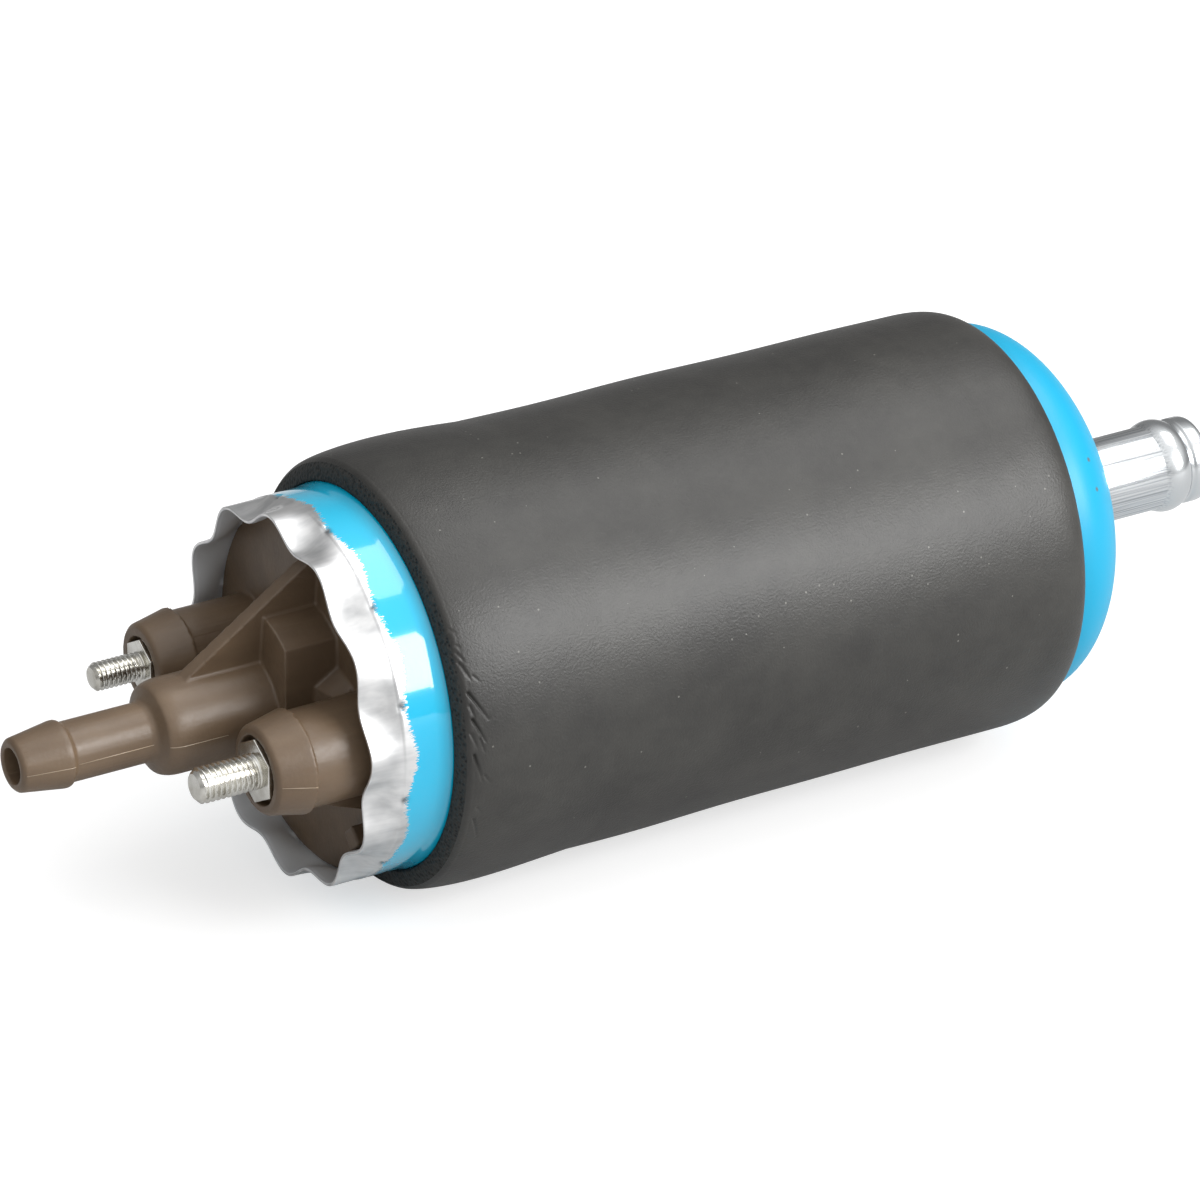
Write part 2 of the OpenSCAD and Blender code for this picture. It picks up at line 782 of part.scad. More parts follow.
module gerotor_inner() {
    key_gap = 0.15;
    color(dark_steel) along(rotor_x + side_fit, rotor_w - 2 * side_fit) difference() {
        polygon(inner_profile(outer_teeth, tooth_circle_r, tooth_r + tooth_fit, rotor_offset,
            inner_teeth * 40));
        key_section(rotor_bore_r, 2.4 + key_gap, 5.4 + key_gap);
    }
}

module gerotor_outer() {
    cavity_r = tooth_circle_r - tooth_r + 2 * rotor_offset + tooth_fit;
    color(dark_steel) along(rotor_x + side_fit, rotor_w - 2 * side_fit)
        translate([-rotor_offset, 0]) {
            difference() {
                circle(outer_rotor_d / 2);
                circle(cavity_r);
            }
            intersection() {
                circle(outer_rotor_d / 2 - 0.5);
                for (i = [0:outer_teeth - 1]) rotate(360 * i / outer_teeth)
                    translate([tooth_circle_r, 0]) circle(tooth_r);
            }
        }
}

// Screw positions of the pump cell
module at_screws() {
    for (i = [0:screw_count - 1]) rotate([45 + 360 * i / screw_count, 0, 0])
        translate([0, screw_circle_r, 0]) children();
}

module pump_ring() {
    color(bronze) difference() {
        rod(rotor_x, rotor_w, plate_r);
        translate([0, -rotor_offset, 0])
            rod(rotor_x - 1, rotor_w + 2, outer_rotor_d / 2 + run_fit);
        at_screws() rod(rotor_x - 1, rotor_w + 2, screw_r + lay_fit);
    }
}

// Kidney shaped port beside the rotors
module kidney(x, len, middle) {
    sweep = 116;
    root_r = tooth_circle_r - tooth_r - rotor_offset;
    tip_r = tooth_circle_r - tooth_r + 2 * rotor_offset;
    ring_sector(x, len, tip_r - lay_fit, root_r + 3 * lay_fit, middle - sweep / 2, sweep);
}

module inlet_plate() {
    color(bare_aluminium) difference() {
        union() {
            rod(inlet_plate_x, inlet_plate_t, plate_r);
            translate([0, 0, relief_at])
                rod(inlet_plate_x + inlet_plate_t - 1, relief_len + 1, relief_boss_r);
        }
        kidney(inlet_plate_x - 1, inlet_plate_t + 2, 90);
        kidney(inlet_plate_x - 1, 3, -90);
        at_screws() rod(inlet_plate_x - 1, inlet_plate_t + 2, screw_r + lay_fit);
        translate([0, 0, relief_at]) {
            rod(inlet_plate_x, inlet_plate_t, relief_port_r);
            rod(inlet_plate_x + relief_port_len, relief_len + inlet_plate_t, relief_bore_r);
        }
    }
}

module outlet_plate() {
    color(bare_aluminium) difference() {
        rod(outlet_plate_x, outlet_plate_t, plate_r);
        rod(outlet_plate_x - 1, outlet_plate_t + 2, shaft_d / 2 + 2.5);
        kidney(outlet_plate_x - 1, outlet_plate_t + 2, -90);
        at_screws() rod(outlet_plate_x - 1, outlet_plate_t + 2, screw_r);
    }
}

module plate_screws() {
    head_r = 2.6;
    head_h = 1.8;
    seat = inlet_plate_x + inlet_plate_t;
    color(zinc_plate) at_screws() {
        rod(outlet_plate_x + 1, seat - outlet_plate_x - 1 + 0.2, screw_r);
        difference() {
            rod(seat, head_h, head_r);
            translate([seat + head_h - 0.8, -head_r - 1, -0.35]) cube([2, 2 * head_r + 2, 0.7]);
        }
    }
}

module valve_seat() {
    color(bronze) tube(seat_x, seat_t, pocket_r, seat_hole_r);
}

// Non-return valve: disc on its seat, nose in the hole and a stem inside the spring
module check_valve() {
    disc_r = 3.6;
    stem_r = 1.3;
    stem_len = 6;
    nose_len = 1.5;
    color(nylon) {
        rod(seat_x - valve_disc_t - seat_gap, valve_disc_t, disc_r);
        taper(seat_x - seat_gap - 0.1, nose_len + 0.1, seat_hole_r - 0.3, seat_hole_r - 1);
        rod(seat_x - valve_disc_t - stem_len, stem_len, stem_r);
    }
}

module check_spring() {
    start = valve_front + spring_gap;
    color(dark_steel) translate([start, 0, 0])
        coil_spring(seat_x - valve_disc_t - seat_gap - spring_gap - start, 3.2, 0.35, 6);
}

// Ball on the edge of its port, with the least clearance
function ball_x() = inlet_plate_x + relief_port_len
    + sqrt(pow(relief_ball_r, 2) - pow(relief_port_r, 2)) + seat_gap;

module relief_ball() {
    color(dark_steel) translate([ball_x(), 0, relief_at]) sphere(relief_ball_r);
}

module relief_spring() {
    start = ball_x() + relief_ball_r + spring_gap;
    color(dark_steel) translate([start, 0, relief_at])
        coil_spring(cap_x - start - spring_gap, 1.7, 0.3, 4);
}

// Pressed cap with a vent, closing the relief chamber
module relief_cap() {
    cap_end = inlet_plate_x + inlet_plate_t + relief_len;
    color(zinc_plate) translate([0, 0, relief_at]) difference() {
        rod(cap_x, cap_end - cap_x, relief_bore_r);
        rod(cap_x - 1, cap_end - cap_x + 2, 1.2);
    }
}

pump_can();
foam_sleeve();
outlet_head();
head_o_ring();
positive_stud();
negative_stud();
inlet_spigot();
inlet_strainer();
flux_ring();
magnet_upper();
magnet_lower();
magnet_springs();
armature_shaft();
lamination_core();
windings();
commutator();
front_bush();
rear_bush();
brush_holder();
brush_upper();
brush_lower();
brush_spring_upper();
brush_spring_lower();
suppression_chokes();
drive_coupling();
gerotor_inner();
gerotor_outer();
pump_ring();
inlet_plate();
outlet_plate();
plate_screws();
valve_seat();
check_valve();
check_spring();
relief_ball();
relief_spring();
relief_cap();
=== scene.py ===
# %% [markdown]
# # Inline electric fuel pump
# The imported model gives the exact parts: can, head, studs, spigot and all that turns inside.
# This script gives them their looks. It keeps the frame where it is, puts finer meshes over
# the parts that show, and makes every finish from nodes, at the scale of the real one.

import json
import math

import bmesh
import bpy
import numpy as np
from mathutils import Matrix, Vector


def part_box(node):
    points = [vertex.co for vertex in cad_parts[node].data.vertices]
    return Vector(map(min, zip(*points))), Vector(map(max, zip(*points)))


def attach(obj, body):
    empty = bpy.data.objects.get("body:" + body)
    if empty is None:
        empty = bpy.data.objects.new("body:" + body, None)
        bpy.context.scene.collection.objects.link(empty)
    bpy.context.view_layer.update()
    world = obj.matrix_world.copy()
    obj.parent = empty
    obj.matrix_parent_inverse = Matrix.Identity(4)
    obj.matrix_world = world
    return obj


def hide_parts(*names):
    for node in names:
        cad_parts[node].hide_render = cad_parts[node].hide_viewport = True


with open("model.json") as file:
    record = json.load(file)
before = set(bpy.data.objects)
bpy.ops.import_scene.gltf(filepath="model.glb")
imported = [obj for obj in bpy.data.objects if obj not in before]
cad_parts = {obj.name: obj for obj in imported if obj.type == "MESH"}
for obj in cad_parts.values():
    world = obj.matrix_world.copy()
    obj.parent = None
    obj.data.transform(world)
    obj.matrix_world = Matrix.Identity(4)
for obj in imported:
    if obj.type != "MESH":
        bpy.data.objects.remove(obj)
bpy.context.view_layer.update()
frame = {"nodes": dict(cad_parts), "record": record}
scene = bpy.context.scene
BODY = "pump_body"

# %% [markdown]
# ## Stations along the pump axis
# The axis is X, and the outlet points to -X. Every piece below is placed from the boxes of the
# parts that it covers, so nothing is fitted by eye. Sizes are written in millimetres, and the
# meshes are turned into metres once, when they are made.

# %% Stations and radii in millimetres
MM = 0.001


def box_mm(node):
    low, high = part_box(node)
    return np.array(low) / MM, np.array(high) / MM


can_low, can_high = box_mm("pump_can")
foam_low, foam_high = box_mm("foam_sleeve")
head_low = box_mm("outlet_head")[0]
spigot_low, spigot_high = box_mm("inlet_spigot")

can_r = can_high[2]
can_wall = 1.2
edge_wall = 0.55
rim_front = can_low[0]
rim_len = 5.0
head_face = rim_front + rim_len
shoulder = head_face + 8.0
shoulder_len = 3.0
rim_r = can_r - 0.4
pole = can_high[0]
dome_depth = 13.1
dome_start = pole - dome_depth
spigot_r = 6.05
print("rim", round(rim_front, 2), "foam", round(foam_low[0], 2), "pole", round(pole, 2))

# %% [markdown]
# ## Camera
# The photograph was taken with a long lens from above and in front. The camera stands where
# the outlines of the can, the sleeve and the spigot agree with that view.

# %% Camera
view_azimuth = math.radians(-30.542)
view_elevation = math.radians(26.362)
view_distance = 1041.8 * MM
view_shift = (32.2 * MM, 10.03 * MM)
# the focal length as the fit to the outlines gives it, in pixels of the square frame
focal_pixels = 7717
frame_pixels = 1200
sensor = 36.0

back = Vector((
    math.sin(view_azimuth) * math.cos(view_elevation),
    -math.cos(view_azimuth) * math.cos(view_elevation),
    math.sin(view_elevation),
))
right = Vector((math.cos(view_azimuth), math.sin(view_azimuth), 0))
up = back.cross(right)
aim = Vector((shoulder * MM, 0, 0)) + right * view_shift[0] + up * view_shift[1]
eye = aim + back * view_distance
camera_data = bpy.data.cameras.new("camera")
camera_data.sensor_width = sensor
camera_data.lens = sensor * focal_pixels / frame_pixels
camera_data.clip_start = 0.05
camera_data.clip_end = 20
camera = bpy.data.objects.new("camera", camera_data)
scene.collection.objects.link(camera)
camera.matrix_world = Matrix.Translation(eye) @ Matrix((right, up, back)).transposed().to_4x4()
scene.camera = camera
print("camera at", tuple(round(v, 3) for v in eye))

# %% [markdown]
# ## Colours and nodes
# Colours are written as sRGB hex values, as a picker shows them, and turned to linear once.
# One small function adds any node. A value in `inputs` that is a socket gets linked, a node
# stands for its first output, and any other value is set. `stops` colours a ramp. A finish
# starts from the Principled shader and the Object coordinates, so that its pattern stays on
# the piece when the piece moves.

# %% Helpers for materials
def linear(hex_colour):
    parts = [int(hex_colour[i:i + 2], 16) / 255 for i in (1, 3, 5)]
    return tuple(p / 12.92 if p <= 0.04045 else ((p + 0.055) / 1.055) ** 2.4 for p in parts) + (1.0,)


def add(tree, kind, inputs=None, stops=(), **settings):
    """Adds one node with its settings, its links or values, and the colours of its ramp."""
    node = tree.nodes.new(kind)
    for name, value in settings.items():
        setattr(node, name, value)
    for key, value in (inputs or {}).items():
        if isinstance(value, bpy.types.Node):
            value = value.outputs[0]
        if isinstance(value, bpy.types.NodeSocket):
            tree.links.new(value, node.inputs[key])
        else:
            node.inputs[key].default_value = value
    for i, (place, colour) in enumerate(stops):
        node.color_ramp.elements[i].position = place
        node.color_ramp.elements[i].color = linear(colour)
    return node


def new_material(name, colour, roughness, metallic=0.0, **sockets):
    material = bpy.data.materials.new(name)
    material.use_nodes = True
    tree = material.node_tree
    shader = tree.nodes["Principled BSDF"]
    shader.inputs["Base Color"].default_value = linear(colour)
    shader.inputs["Roughness"].default_value = roughness
    shader.inputs["Metallic"].default_value = metallic
    for socket, value in sockets.items():
        shader.inputs[socket.replace("_", " ")].default_value = value
    position = add(tree, "ShaderNodeTexCoord").outputs["Object"]
    return material, tree, shader, position


# %% [markdown]
# ## Turned shapes
# Most of the pump is round, so one helper turns an outline about the X axis. An outline is a
# list of corners: distance along the axis, radius and the radius of the rounding there. Each
# corner becomes a short curve, because no edge on the real pump is perfectly sharp. Blender's
# Spin tool or a Screw modifier could turn it too. Working the rings out in code keeps the
# number of steps in hand, and lets them be closer together where fine marks follow.

# %% Helpers for turned meshes
def rounded(corners, steps=5):
    """Replaces each corner (x, r, rounding) by a curve between two points on its edges."""
    places = [np.array(corner[:2], float) for corner in corners]
    count = len(corners)
    points = []
    for i, corner in enumerate(corners):
        here, before, after = places[i], places[i - 1], places[(i + 1) % count]
        size = corner[2] if len(corner) > 2 else 0
        if not size:
            points.append(here)
            continue
        to_before, to_after = before - here, after - here
        reach_before = min(size, np.linalg.norm(to_before) * 0.49)
        reach_after = min(size, np.linalg.norm(to_after) * 0.49)
        start = here + to_before / np.linalg.norm(to_before) * reach_before
        end = here + to_after / np.linalg.norm(to_after) * reach_after
        for t in np.linspace(0, 1, steps):
            points.append((1 - t) ** 2 * start + 2 * t * (1 - t) * here + t ** 2 * end)
    return np.array(points)


def turned_mesh(name, outline, steps=192, angles=None):
    """A closed outline (x, r) in millimetres, turned about X; touching the axis makes a pole."""
    if angles is None:
        angles = np.linspace(0, 2 * math.pi, steps, endpoint=False)
    steps = len(angles)
    rings = [
        np.stack([np.full(steps, x), r * np.cos(angles), r * np.sin(angles)], -1)
        for x, r in outline
    ]
    count = len(rings)
    here = np.arange(steps)
    after = np.roll(here, -1)
    faces = []
    for k in range(count):
        a, b = k * steps, (k + 1) % count * steps
        faces.append(np.stack([a + here, a + after, b + after, b + here], -1))
    mesh = bpy.data.meshes.new(name)
    mesh.from_pydata((np.concatenate(rings) * MM).tolist(), [], np.concatenate(faces).tolist())
    return mesh


def finished(name, mesh, *materials):
    """Welds a mesh, turns its faces outwards, smooths it and links it as an object."""
    work = bmesh.new()
    work.from_mesh(mesh)
    bmesh.ops.remove_doubles(work, verts=work.verts, dist=1e-7)
    bmesh.ops.dissolve_degenerate(work, edges=work.edges, dist=1e-8)
    bmesh.ops.recalc_face_normals(work, faces=work.faces)
    work.to_mesh(mesh)
    work.free()
    mesh.shade_smooth()
    mesh.materials.clear()
    for material in materials:
        mesh.materials.append(material)
    piece = bpy.data.objects.new(name, mesh)
    scene.collection.objects.link(piece)
    return piece


def place_piece(piece, slot, *nodes):
    """Lets a finished piece ride on the pump's body and stand for the nodes it covers."""
    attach(piece, BODY)
    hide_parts(*nodes)
    print(piece.name, len(piece.data.polygons), "faces")


def keep_nodes_result(piece, tree, **values):
    """Runs a node tree on a piece and keeps what it makes as a plain mesh."""
    modifier = piece.modifiers.new(tree.name, "NODES")
    modifier.node_group = tree
    for item in tree.interface.items_tree:
        if item.name in values:
            modifier[item.identifier] = values[item.name]
    graph = bpy.context.evaluated_depsgraph_get()
    made = bpy.data.meshes.new_from_object(
        piece.evaluated_get(graph), preserve_all_data_layers=True, depsgraph=graph)
    piece.modifiers.remove(modifier)
    piece.data = made
    return piece


def tree_with_inputs(name, **kinds):
    """A new Geometry Nodes tree with named inputs and one geometry output."""
    tree = bpy.data.node_groups.new(name, "GeometryNodeTree")
    for label, kind in kinds.items():
        tree.interface.new_socket(label.replace("_", " "), in_out="INPUT", socket_type="NodeSocket" + kind)
    tree.interface.new_socket("Geometry", in_out="OUTPUT", socket_type="NodeSocketGeometry")
    return tree, tree.nodes.new("NodeGroupInput").outputs


# %% [markdown]
# ## Can finishes
# The can is deep drawn aluminium with a glossy blue lacquer. The crimping tool dragged the
# lacquer off the mouth, burnished the metal there and left a nick behind each flute, whose
# shade is painted in as a dark grey.
# Two pieces with a seam between them would make the lacquer's edge too clean, so one material
# holds both. The attribute `scrape` gives the distance in millimetres past that edge, and fine
# noise, stretched along the axis, makes it ragged, as dragged paint is. Towards the dome the
# gloss fades to satin, the blue is painted darker there as painted shade, and two small pits
# show there.

# %% Patterns in the can's finish
# pits in the dome's lacquer: millimetres behind the shoulder, across and up
DOME_PITS = ((103.45, -21.0, 15.8), (103.45, -23.3, 12.2))
pit_core = 0.2
pit_edge = 0.45


def burnished_metal(tree, position):
    """Streaks along the axis, 1.4 mm wide, and patches of 4 mm: what the crimping tool leaves."""
    stretched = add(tree, "ShaderNodeMapping", {"Vector": position, "Scale": (60.0, 700.0, 700.0)})
    streak = add(tree, "ShaderNodeTexNoise", {"Vector": stretched, "Scale": 1.0, "Detail": 3.0})
    patch = add(tree, "ShaderNodeTexNoise", {"Vector": position, "Scale": 260.0, "Detail": 2.0})
    both = add(tree, "ShaderNodeMath", {0: streak.outputs["Fac"], 1: patch.outputs["Fac"]}, operation="ADD")
    half = add(tree, "ShaderNodeMath", {0: both, 1: 0.5}, operation="MULTIPLY")
    return half.outputs[0]


def bare_mask(tree, position):
    """1 where the crimping tool dragged the lacquer off, in flakes of 1 by 0.25 mm."""
    scrape = add(tree, "ShaderNodeAttribute", attribute_name="scrape").outputs["Fac"]
    dragged = add(tree, "ShaderNodeMapping", {"Vector": position, "Scale": (1000.0, 4200.0, 4200.0)})
    ragged = add(tree, "ShaderNodeTexNoise", {
        "Vector": dragged, "Scale": 1.0, "Detail": 4.0, "Roughness": 0.7})
    drift = add(tree, "ShaderNodeTexNoise", {"Vector": position, "Scale": 190.0, "Detail": 1.0})
    fine = add(tree, "ShaderNodeMath", {0: ragged.outputs["Fac"], 1: 3.0, 2: -2.0}, operation="MULTIPLY_ADD")
    waved = add(tree, "ShaderNodeMath", {0: drift.outputs["Fac"], 1: fine}, operation="ADD")
    edge = add(tree, "ShaderNodeMath", {0: waved, 1: scrape}, operation="ADD")
    bare = add(tree, "ShaderNodeMapRange", {"Value": edge, "From Min": -0.1, "From Max": 0.1})
    return bare.outputs["Result"]


def lacquer_colour(tree, position, to_dome):
    """Blue that changes a little with the thickness of the lacquer, and is painted darker on the dome as
    painted shade.
    """
    cloud = add(tree, "ShaderNodeTexNoise", {"Vector": position, "Scale": 45.0, "Detail": 2.0})
    thick = add(tree, "ShaderNodeValToRGB", {"Fac": cloud.outputs["Fac"]},
                stops=[(0.3, "#00a7ce"), (0.7, "#00b1d5")])
    # the darker blue #0098bf towards the dome is painted shade
    blue = add(tree, "ShaderNodeMix", {
        "Factor": to_dome, "A": thick.outputs["Color"], "B": linear("#0098bf")}, data_type="RGBA")
    return blue.outputs["Result"]


def with_nick_shade_and_pits(tree, position, colour):
    """Paints shade into the nick behind each flute as dark grey, and darkens the pits in the dome's lacquer.
    """
    mark = add(tree, "ShaderNodeAttribute", attribute_name="nick_shade_mask").outputs["Fac"]
    for x, y, z in DOME_PITS:
        pit = ((shoulder + x) * MM, y * MM, z * MM)
        away = add(tree, "ShaderNodeVectorMath", {0: position, 1: pit}, operation="DISTANCE")
        spot = add(tree, "ShaderNodeMapRange", {
            "Value": away.outputs["Value"], "From Min": pit_core * MM, "From Max": pit_edge * MM,
            "To Min": 1.0, "To Max": 0.0})
        mark = add(tree, "ShaderNodeMath", {0: mark, 1: spot}, operation="MAXIMUM")
    # the dark grey is painted shade in the nicks, and the pits' own dark colour
    marked = add(tree, "ShaderNodeMix", {
        "Factor": mark, "A": colour, "B": linear("#5c6064")}, data_type="RGBA")
    return marked.outputs["Result"]


print("dome pits", len(DOME_PITS))

# %% Blue lacquer over aluminium, and the bare inside
gloss = 0.12
clear_coat = 0.9


def make_can_coat():
    # wet looking blue that mirrors the softbox near the mouth and only glows on the dome;
    # past the ragged edge the bare metal is pale and streaky, and blurs what it mirrors
    material, tree, shader, position = new_material(
        "aluminium_deep_drawn_blue_lacquer", "#00a8d5", gloss,
        Coat_Weight=clear_coat, Coat_Roughness=0.04)
    along = add(tree, "ShaderNodeSeparateXYZ", {0: position}).outputs["X"]
    to_dome = add(tree, "ShaderNodeMapRange", {
        "Value": along, "From Min": 0.0, "From Max": foam_high[0] * MM})
    mask = bare_mask(tree, position)
    blue = lacquer_colour(tree, position, to_dome)
    streaks = burnished_metal(tree, position)
    metal = add(tree, "ShaderNodeValToRGB", {"Fac": streaks}, stops=[(0.35, "#cbcccd"), (0.62, "#f2f2f2")])
    coated = add(tree, "ShaderNodeMix", {"Factor": mask, "A": blue, "B": metal}, data_type="RGBA")
    colour = with_nick_shade_and_pits(tree, position, coated.outputs["Result"])
    tree.links.new(colour, shader.inputs["Base Color"])
    tree.links.new(mask, shader.inputs["Metallic"])
    satin = add(tree, "ShaderNodeMapRange", {"Value": to_dome, "To Min": gloss, "To Max": 0.42})
    rough = add(tree, "ShaderNodeMapRange", {"Value": mask, "To Min": satin, "To Max": 0.36})
    tree.links.new(rough.outputs["Result"], shader.inputs["Roughness"])
    coat = add(tree, "ShaderNodeMapRange", {"Value": to_dome, "To Min": clear_coat, "To Max": 0.0})
    tree.links.new(coat.outputs["Result"], shader.inputs["Coat Weight"])
    bump = add(tree, "ShaderNodeBump", {"Height": streaks, "Strength": mask, "Distance": 0.01 * MM})
    tree.links.new(bump.outputs["Normal"], shader.inputs["Normal"])
    return material


def make_can_inside():
    # pale grey and only a quarter metallic: painted light that lifts the shade inside the mouth, while it
    # still mirrors a grey blur of the head and the tent
    material, tree, shader, position = new_material("aluminium_drawn_bare_dull", "#dde1e5", 0.45, 0.25)
    bump = add(tree, "ShaderNodeBump", {
        "Height": burnished_metal(tree, position), "Strength": 0.8, "Distance": 0.05 * MM})
    tree.links.new(bump.outputs["Normal"], shader.inputs["Normal"])
    return material


can_coat = make_can_coat()
can_inside = make_can_inside()
print("can finishes", can_coat.name, can_inside.name)

# %% [markdown]
# ## The can
# The real can is drawn from a disc, slipped over the works, and its mouth is pressed in by
# twelve fingers that leave a scalloped rim. The plain can is turned from an outline, whose
# wall thins towards the edge, because pressing stretched it there. The flutes follow a rule,
# one wave round the mouth that grows towards the edge, so a Geometry Nodes tree presses them
# in, with the small nick that each finger leaves behind its flute. Sculpting them by hand
# would not repeat so evenly. The same tree stores where the lacquer ends and where the nicks
# are, for the material to read.

# %% Outline of the can
edge_land = 0.3
edge_round = 0.15
rim_step = 0.1


def ease(t):
    """Rises smoothly from 0 to 1."""
    return t * t * (3 - 2 * t)


def can_outline():
    """Outside from the dome to the mouth, round its edge, and inside back to the dome."""
    outer = [(dome_start + dome_depth * math.sin(a), can_r * math.cos(a))
             for a in np.linspace(math.acos(spigot_r / can_r), 0, 40)]
    outer += [(x, can_r) for x in np.linspace(dome_start, shoulder, 24)[1:-1]]
    outer += [(shoulder - shoulder_len * t, can_r - (can_r - rim_r) * ease(t))
              for t in np.linspace(0, 1, 8)]
    outer += [(x, rim_r) for x in np.linspace(shoulder - shoulder_len, head_face, 26)[1:]]
    outer += [(head_face - rim_len * t, rim_r - rim_step)
              for t in np.linspace(0.03, 1 - edge_land / rim_len, 26)]
    edge = rounded([
        (rim_front + edge_land, rim_r - rim_step), (rim_front, rim_r - rim_step, edge_round),
        (rim_front, rim_r - edge_wall, edge_round), (rim_front + edge_land, rim_r - edge_wall),
    ], 6)
    inner = [(head_face - rim_len * t, rim_r - can_wall + (can_wall - edge_wall) * t)
             for t in np.linspace(0.92, 0, 18)]
    inner_r = can_r - can_wall
    inner += [(shoulder - shoulder_len, rim_r - can_wall), (shoulder, inner_r), (dome_start, inner_r)]
    inner_depth = dome_depth - can_wall
    inner += [(dome_start + inner_depth * math.sin(a), inner_r * math.cos(a))
              for a in np.linspace(0, math.acos(spigot_r / inner_r), 14)[1:]]
    points = np.array(outer + [tuple(p) for p in edge] + inner)
    return points, len(outer) + len(edge) // 2 + 1


can_points, first_inner_ring = can_outline()
can_steps = 384
print("can outline", len(can_points), "points")

# %% Sizes of the flutes and of the lacquer's edge
# lengths in millimetres, angles in degrees from +Y towards +Z
flutes = 12.0
flute_depth = 2.2
flute_clocking = 27
nick_depth = 0.5
nick_back = 0.15
nick_length = 0.4
nick_sharpness = 60.0
coat_edge = head_face + 0.5
coat_wave = 0.45
coat_lean = 0.6
lean_side = 160
print("flutes", flutes, "every", round(2 * math.pi * rim_r / flutes, 1), "mm round the mouth")

# %% Node tree that presses the flutes
def flute_tree():
    tree, given = tree_with_inputs(
        "pressed_flutes", Geometry="Geometry", Flutes="Float", Depth="Float", Root="Float",
        Length="Float", Clocking="Float", Nick="Float", Coat_edge="Float", Coat_wave="Float",
        Coat="Material", Bare="Material")
    place = add(tree, "GeometryNodeInputPosition")
    split = add(tree, "ShaderNodeSeparateXYZ", {0: place}).outputs

    # the wave round the mouth: 0 on a crest and 1 in the middle of a flute
    angle = add(tree, "ShaderNodeMath", {0: split["Z"], 1: split["Y"]}, operation="ARCTAN2")
    turned = add(tree, "ShaderNodeMath", {0: angle, 1: given["Clocking"]}, operation="SUBTRACT")
    phase = add(tree, "ShaderNodeMath", {0: turned, 1: given["Flutes"]}, operation="MULTIPLY")
    wave = add(tree, "ShaderNodeMath", {0: phase}, operation="COSINE")
    valley = add(tree, "ShaderNodeMath", {0: wave, 1: -0.5, 2: 0.5}, operation="MULTIPLY_ADD")

    # the press: nothing at the root, its full depth at the edge
    forward = add(tree, "ShaderNodeMath", {0: given["Root"], 1: split["X"]}, operation="SUBTRACT")
    share = add(tree, "ShaderNodeMath", {0: forward, 1: given["Length"]}, operation="DIVIDE", use_clamp=True)
    quarter = add(tree, "ShaderNodeMath", {0: share, 1: math.pi / 2}, operation="MULTIPLY")
    rise = add(tree, "ShaderNodeMath", {0: quarter}, operation="SINE")
    bent = add(tree, "ShaderNodeMath", {0: rise, 1: valley}, operation="MULTIPLY")
    press = add(tree, "ShaderNodeMath", {0: bent, 1: given["Depth"]}, operation="MULTIPLY")

    # the nick: a short narrow dent behind the root, in the middle of each flute
    from_nick = add(tree, "ShaderNodeMath", {0: forward, 1: nick_back * MM}, operation="ADD")
    lengths = add(tree, "ShaderNodeMath", {0: from_nick, 1: nick_length * MM}, operation="DIVIDE")
    squared = add(tree, "ShaderNodeMath", {0: lengths, 1: lengths}, operation="MULTIPLY")
    fall = add(tree, "ShaderNodeMath", {0: squared, 1: -1.0}, operation="MULTIPLY")
    near = add(tree, "ShaderNodeMath", {0: fall}, operation="EXPONENT")
    narrow = add(tree, "ShaderNodeMath", {0: valley, 1: nick_sharpness}, operation="POWER")
    mark = add(tree, "ShaderNodeMath", {0: narrow, 1: near}, operation="MULTIPLY")
    nick = add(tree, "ShaderNodeMath", {0: mark, 1: given["Nick"]}, operation="MULTIPLY")

    # both push straight towards the axis
    dent = add(tree, "ShaderNodeMath", {0: press, 1: nick}, operation="ADD")
    inward = add(tree, "ShaderNodeMath", {0: dent, 1: -1.0}, operation="MULTIPLY")
    flat = add(tree, "ShaderNodeVectorMath", {0: place, 1: (0.0, 1.0, 1.0)}, operation="MULTIPLY")
    outward = add(tree, "ShaderNodeVectorMath", {0: flat}, operation="NORMALIZE")
    shift = add(tree, "ShaderNodeVectorMath", {0: outward, "Scale": inward}, operation="SCALE")

    # the lacquer's edge follows the flutes and lies further back on one side
    waved = add(tree, "ShaderNodeMath", {
        0: wave, 1: given["Coat wave"], 2: given["Coat edge"]}, operation="MULTIPLY_ADD")
    from_side = add(tree, "ShaderNodeMath", {0: angle, 1: math.radians(lean_side)}, operation="SUBTRACT")
    lean = add(tree, "ShaderNodeMath", {0: from_side}, operation="COSINE")
    front = add(tree, "ShaderNodeMath", {0: lean, 1: coat_lean * MM, 2: waved}, operation="MULTIPLY_ADD")
    past = add(tree, "ShaderNodeMath", {0: front, 1: split["X"]}, operation="SUBTRACT")
    scrape = add(tree, "ShaderNodeMath", {0: past, 1: 1 / MM}, operation="MULTIPLY")

    stored = add(tree, "GeometryNodeStoreNamedAttribute", {
        "Geometry": given["Geometry"], "Name": "scrape", "Value": scrape}, data_type="FLOAT", domain="POINT")
    marked = add(tree, "GeometryNodeStoreNamedAttribute", {
        "Geometry": stored, "Name": "nick_shade_mask", "Value": mark}, data_type="FLOAT", domain="POINT")
    moved = add(tree, "GeometryNodeSetPosition", {"Geometry": marked, "Offset": shift})
    real = add(tree, "GeometryNodeRealizeInstances", {"Geometry": moved})
    coated = add(tree, "GeometryNodeSetMaterial", {"Geometry": real, "Material": given["Coat"]})
    inside = add(tree, "GeometryNodeInputNamedAttribute", {"Name": "inner_wall"}, data_type="BOOLEAN")
    bare = add(tree, "GeometryNodeSetMaterial", {
        "Geometry": coated, "Selection": inside.outputs["Attribute"], "Material": given["Bare"]})
    add(tree, "NodeGroupOutput", {"Geometry": bare})
    return tree


fluted = flute_tree()
print("flute tree", len(fluted.nodes), "nodes")

